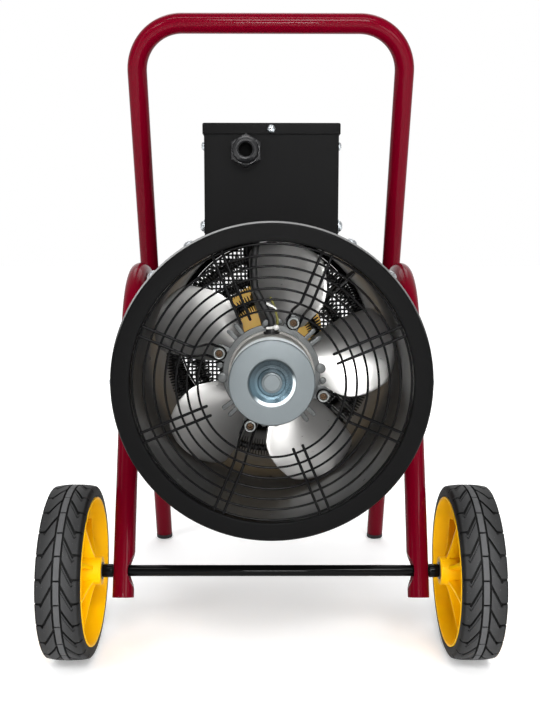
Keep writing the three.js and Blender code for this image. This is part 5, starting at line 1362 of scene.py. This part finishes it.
class HEATER_OT_box(bpy.types.Operator):
    """Control box walls, lid, screws, gland, knobs, button and pilot lamp."""

    bl_idname = "heater.box"
    bl_label = "Control box"

    def execute(self, context):
        settings = context.scene.heater_box
        painted = tuple(context.scene.heater_duct.coat)
        edge = mm(settings.edge)
        coat = "black_coat", powder_finish("box_powder_coat", painted, 0.46)
        # painted shade: the lid's coat is the walls' powder coat at 0.95 of its colour
        lid_coat = "black_coat", powder_finish("lid_powder_coat", shade(painted, 0.95), 0.42)
        plated = "zinc", spangle_finish("box_screw_zinc", (0.42, 0.45, 0.47), 0.28, 0.95, 500.0)
        plastic = "black_plastic", moulded_finish("gland_black_nylon", (0.011, 0.011, 0.012), 0.36, coat=0.15)
        knob = "black_plastic", moulded_finish("knob_black", (0.012, 0.012, 0.012), 0.4, coat=0.1)
        ink = "lamp_lens", moulded_finish("print_white", (0.72, 0.72, 0.7), 0.5)
        half, low, high = BOX_HALF - 2.2, BOX_FRONT + 1.8, BOX_BACK - 1.8
        floor, faces = plate([(-half, low), (half, low), (half, high), (-half, high)], 0, 1.4, 0.3)
        floor = outward((floor[:, [0, 2, 1]] + [0, 0, FLOOR_TOP - 1.5], faces))
        add_piece("folded_box_walls", [walls_form(edge), floor], coat, "box_body")
        add_piece("folded_lid", [lid_form(edge)], lid_coat, "box_lid")
        lid_screw, wall_screw, saddle_screw = screw_head(4.7, 3.2), screw_head(5.0, 3.4), screw_head(6.2, 4.4)
        screws = [
            aimed(lid_screw, (0, -1, 0), (-0.3, BOX_FRONT - LID_OVER, LID_SCREW_Z)),
            aimed(lid_screw, (0, 1, 0), (0.0, BOX_BACK + LID_OVER, LID_SCREW_Z)),
        ]
        for sign in (-1, 1):
            for y in (18.0, 208.0):
                way = (sign, 0, 0)
                screws.append(aimed(wall_screw, way, (sign * BOX_HALF, y, 588.0)))
                screws.append(aimed(saddle_screw, way, (sign * (BOX_HALF + 1.1), y, SADDLE_SCREW_Z)))
                screws.append(aimed(washer(7.8, 2.0, 1.2, 36), way, (sign * BOX_HALF, y, SADDLE_SCREW_Z)))
        add_piece("box_screws", screws, plated)
        collar, nut, seal = gland_forms()
        # seal and bore disc are near-black: the disc is a painted shadow that closes the bore
        bore = "rubber", moulded_finish("seal_rubber_and_bore_shade", (0.0012, 0.0012, 0.0012), 0.7, gloss=0.05)
        add_piece("gland_collar", collar, plastic, "gland_body")
        add_piece("gland_dome_nut", nut, plastic, "gland_nut")
        add_piece("gland_seal_and_bore_shade", seal, bore)
        line = plate([(-0.7, 3.0), (0.7, 3.0), (0.7, 14.6), (-0.7, 14.6)], 14.4, 14.62, 0.05)
        dials = (("mode_dial", "mode_knob", -KNOB_X), ("thermostat_dial", "thermostat_knob", KNOB_X))
        for body, node, x in dials:
            add_piece(f"{body}_knob", knob_form(x, KNOB_Z), knob, node, body)
        for body, _, x in dials:
            add_piece(f"{body}_pointer", [moved(line, (x, BOX_BACK + GAP, KNOB_Z))], ink, body=body)
        self.markings(ink)
        self.small_parts(settings)
        return {"FINISHED"}

    def markings(self, ink):
        """Plain marks and numbers round both dials: mode 0 to 3 over 135 degrees, heat 1 to 6 over 270."""
        forms = []
        for x, words, sweep in ((-KNOB_X, "0123", 135.0), (KNOB_X, "123456", 270.0)):
            for i, word in enumerate(words):
                turn = math.radians(sweep * i / (len(words) - 1))
                away = np.array([-math.sin(turn), math.cos(turn)])
                square = np.array([away[1], -away[0]])
                mark = [away * r + square * w for r, w in ((20.6, -0.4), (22.6, -0.4), (22.6, 0.4), (20.6, 0.4))]
                forms.append(moved(plate(mark, BOX_BACK + 0.05, BOX_BACK + 0.17, 0.03), (x, 0, KNOB_Z)))
                forms.append(text_form(word, x + away[0] * 26.2, KNOB_Z + away[1] * 26.2))
        add_piece("dial_markings", forms, ink)

    def small_parts(self, settings):
        """Reset button with its collar, and the pilot lamp with its bezel."""
        red = moulded_finish("button_red", tuple(settings.button), 0.35, coat=0.3)
        lens = moulded_finish("lamp_orange", tuple(settings.lens), 0.2, coat=0.6, emission=0.15)
        steel = "zinc", sheet_finish("collar_chrome", (0.62, 0.62, 0.63), 0.24)
        button, lamp = (0, BOX_BACK, BUTTON_Z), (0, BOX_BACK, LAMP_Z)
        cap = solid_form([
            (0, -2.9), (2.3, -2.9), (2.3, -0.1), (4.4, -0.1), (4.4, 5.7), (0, 5.7),
        ], [0.3, 0.3, 0.3, 1.3], 5, 40)
        add_piece("reset_cap", [moved(cap, button)], ("button_red", red), "reset_button", "reset_plunger")
        collar = ring_form([(5.1, 0.1), (8.0, 0.1), (8.0, 1.6), (5.1, 2.6)], 0.5)
        add_piece("reset_collar", [moved(collar, button)], steel)
        glass = solid_form([
            (0, -12.0), (4.6, -12.0), (4.6, 1.0), (5.2, 1.0), (5.2, 3.4), (3.4, 5.2), (0, 5.6),
        ], [0.5, 0.3, 0.3, 1.2, 1.6], 6)
        add_piece("lamp_lens_cap", [moved(glass, lamp)], ("lamp_lens", lens), "pilot_lamp")
        bezel = ring_form([(5.3, 0.1), (7.4, 0.1), (7.0, 2.2), (5.3, 2.6)], 0.4)
        add_piece("lamp_bezel", [moved(bezel, lamp)], steel)


# ---------------------------------------------------------------- what the solids show as they are
class HEATER_OT_inner(bpy.types.Operator):
    """Finishes for the solids that keep their own shape inside the motor, box and duct."""

    bl_idname = "heater.inner"
    bl_label = "Inner parts"

    def execute(self, context):
        cast = spangle_finish("stator_cast", (0.34, 0.35, 0.35), 0.45, 0.85, 240.0)
        strip = sheet_finish("bracket_sheet", (0.03, 0.03, 0.03), 0.5, 0.5)
        black = moulded_finish("switch_black", (0.014, 0.014, 0.014), 0.5)
        can = sheet_finish("sensor_can", (0.5, 0.5, 0.5), 0.32)
        chosen = {
            "motor_body": cast, "element_bracket": strip, "mode_switch": black, "thermal_cutout": black,
            "thermostat": can,
        }
        for node, finish in chosen.items():
            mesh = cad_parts[node].data
            mesh.materials.clear()
            mesh.materials.append(finish)
        return {"FINISHED"}


# ---------------------------------------------------------------- stage
PHOTO_HEIGHT_PX = 720.0
FOCAL_PX = 916.2
CAMERA = (-5.53, -1031.2, 487.0)
PITCH, YAW, ROLL = math.radians(-7.63), math.radians(0.22), math.radians(-0.07)
SENSOR_MM = 36.0
FLOOR_HALF = 14.0
# name, place, aim, size, watts
LIGHTS = (
    ("key_high", (0.25, -2.05, 1.7), (0.0, -0.1, 0.34), (0.9, 0.6), 35.0),
    ("box_right", (1.35, -2.1, 0.8), (0.0, 0.0, 0.34), (0.9, 0.6), 13.0),
    ("fill_left", (-1.3, -1.7, 1.75), (0.15, 0.0, 0.15), (0.6, 0.5), 12.0),
    ("edge_left", (-1.7, -1.2, 1.0), (0.0, 0.0, 0.35), (0.16, 1.5), 4.0),
    ("edge_right", (1.7, -1.0, 1.0), (0.0, 0.0, 0.35), (0.14, 1.5), 3.0),
    ("front", (0.03, -2.3, 0.58), (0.0, -0.1, 0.38), (0.3, 0.3), 12.0),
    ("top_front", (0.0, -1.0, 2.1), (0.0, 0.0, 0.5), (1.7, 0.3), 16.0),
    ("top_back", (0.0, 1.4, 2.2), (0.0, 0.1, 0.4), (1.8, 1.0), 14.0),
)


def soft_light(name, at, aim, size, watts):
    """Rectangular area light that faces a point. Its own -Z is turned down by acos(-z) and round to that side."""
    data = bpy.data.lights.new(name, "AREA")
    data.shape, data.size, data.size_y, data.energy = "RECTANGLE", *size, watts
    lamp = bpy.data.objects.new(name, data)
    bpy.context.scene.collection.objects.link(lamp)
    lamp.location = at
    x, y, z = unit(np.array(aim) - np.array(at))
    lamp.rotation_euler = (math.acos(-z), 0.0, math.atan2(y, x) - math.pi / 2)


def studio_world(behind, before):
    """White light from behind the heater, falling smoothly to a darker studio in front of it."""
    world = bpy.data.worlds.new("studio")
    world.use_nodes = True
    tree = world.node_tree
    where, split = tree.nodes.new("ShaderNodeTexCoord"), tree.nodes.new("ShaderNodeSeparateXYZ")
    level = tree.nodes.new("ShaderNodeMapRange")
    level.interpolation_type = "SMOOTHSTEP"
    for key, value in (("From Min", -0.1), ("From Max", 0.45), ("To Min", before), ("To Max", behind)):
        level.inputs[key].default_value = value
    tree.links.new(where.outputs["Generated"], split.inputs[0])
    tree.links.new(split.outputs["Y"], level.inputs["Value"])
    tree.links.new(level.outputs[0], tree.nodes["Background"].inputs[1])
    tree.nodes["Background"].inputs[0].default_value = (1.0, 1.0, 1.0, 1.0)
    return world


class HEATER_OT_stage(bpy.types.Operator):
    """Camera at the photograph's angle, pale floor and soft studio light."""

    bl_idname = "heater.stage"
    bl_label = "Stage"

    def execute(self, context):
        scene = context.scene
        scene.view_settings.view_transform = "Standard"
        data = bpy.data.cameras.new("camera")
        data.sensor_width = SENSOR_MM
        data.lens = SENSOR_MM * FOCAL_PX / PHOTO_HEIGHT_PX
        data.clip_start, data.clip_end = 0.01, 60.0
        camera = bpy.data.objects.new("camera", data)
        scene.collection.objects.link(camera)
        camera.location = (CAMERA[0] * 0.001, (CAMERA[1] + SHIFT_Y) * 0.001, CAMERA[2] * 0.001)
        camera.rotation_mode = "XYZ"
        camera.rotation_euler = (math.pi / 2 + PITCH, ROLL, -YAW)
        scene.camera = camera
        ground = Finish("pale_floor", specular_ior_level=0.1, roughness=0.8, emission_strength=0.62)
        x, y, _ = ground.split()
        # painted shadow: the floor's glow falls off towards the heater, greying the floor round and under it
        away = (x * x + y * y).root().step(0.1, 1.5)
        ground.feed(emission_color=ground.blend(away, (0.36, 0.36, 0.36), (1.0, 1.0, 1.0)))
        ground.feed(base_color=ground.blend(ground.noise(1.5, 2.0), (0.9, 0.9, 0.9), (0.93, 0.93, 0.93)))
        mesh = bpy.data.meshes.new("floor")
        corners = [(-FLOOR_HALF, -FLOOR_HALF, 0), (FLOOR_HALF, -FLOOR_HALF, 0)]
        mesh.from_pydata(corners + [(-x, -y, z) for x, y, z in corners], [], [(0, 1, 2, 3)])
        mesh.materials.append(ground.material)
        floor = bpy.data.objects.new("floor", mesh)
        scene.collection.objects.link(floor)
        floor.location.z = -0.0004
        scene.world = studio_world(1.0, 0.2)
        for light in LIGHTS:
            soft_light(*light)
        return {"FINISHED"}


# ---------------------------------------------------------------- add-on
STEPS = (
    HEATER_OT_stage, HEATER_OT_frame, HEATER_OT_wheels, HEATER_OT_duct, HEATER_OT_guards, HEATER_OT_motor,
    HEATER_OT_elements, HEATER_OT_box, HEATER_OT_inner,
)
SETTINGS = {
    "heater_frame": HeaterFrameSettings,
    "heater_wheels": HeaterWheelSettings,
    "heater_duct": HeaterDuctSettings,
    "heater_motor": HeaterMotorSettings,
    "heater_box": HeaterBoxSettings,
}


class HEATER_PT_panel(bpy.types.Panel):
    """Lists the heater's settings and the operators that build it."""

    bl_label = "Forced Air Heater"
    bl_idname = "HEATER_PT_panel"
    bl_space_type = "VIEW_3D"
    bl_region_type = "UI"
    bl_category = "Heater"

    def draw(self, context):
        for name, group in SETTINGS.items():
            column = self.layout.column(align=True)
            for key in group.__annotations__:
                column.prop(getattr(context.scene, name), key)
        for step in STEPS:
            self.layout.operator(step.bl_idname)


CLASSES = (*SETTINGS.values(), *STEPS, HEATER_PT_panel)


def register():
    for cls in CLASSES:
        bpy.utils.register_class(cls)
    for name, group in SETTINGS.items():
        setattr(bpy.types.Scene, name, bpy.props.PointerProperty(type=group))


def unregister():
    for name in SETTINGS:
        delattr(bpy.types.Scene, name)
    for cls in reversed(CLASSES):
        bpy.utils.unregister_class(cls)


def main():
    """Registers the add-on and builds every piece."""
    register()
    for step in STEPS:
        group, name = step.bl_idname.split(".")
        getattr(getattr(bpy.ops, group), name)()


if __name__ == "__main__":
    main()
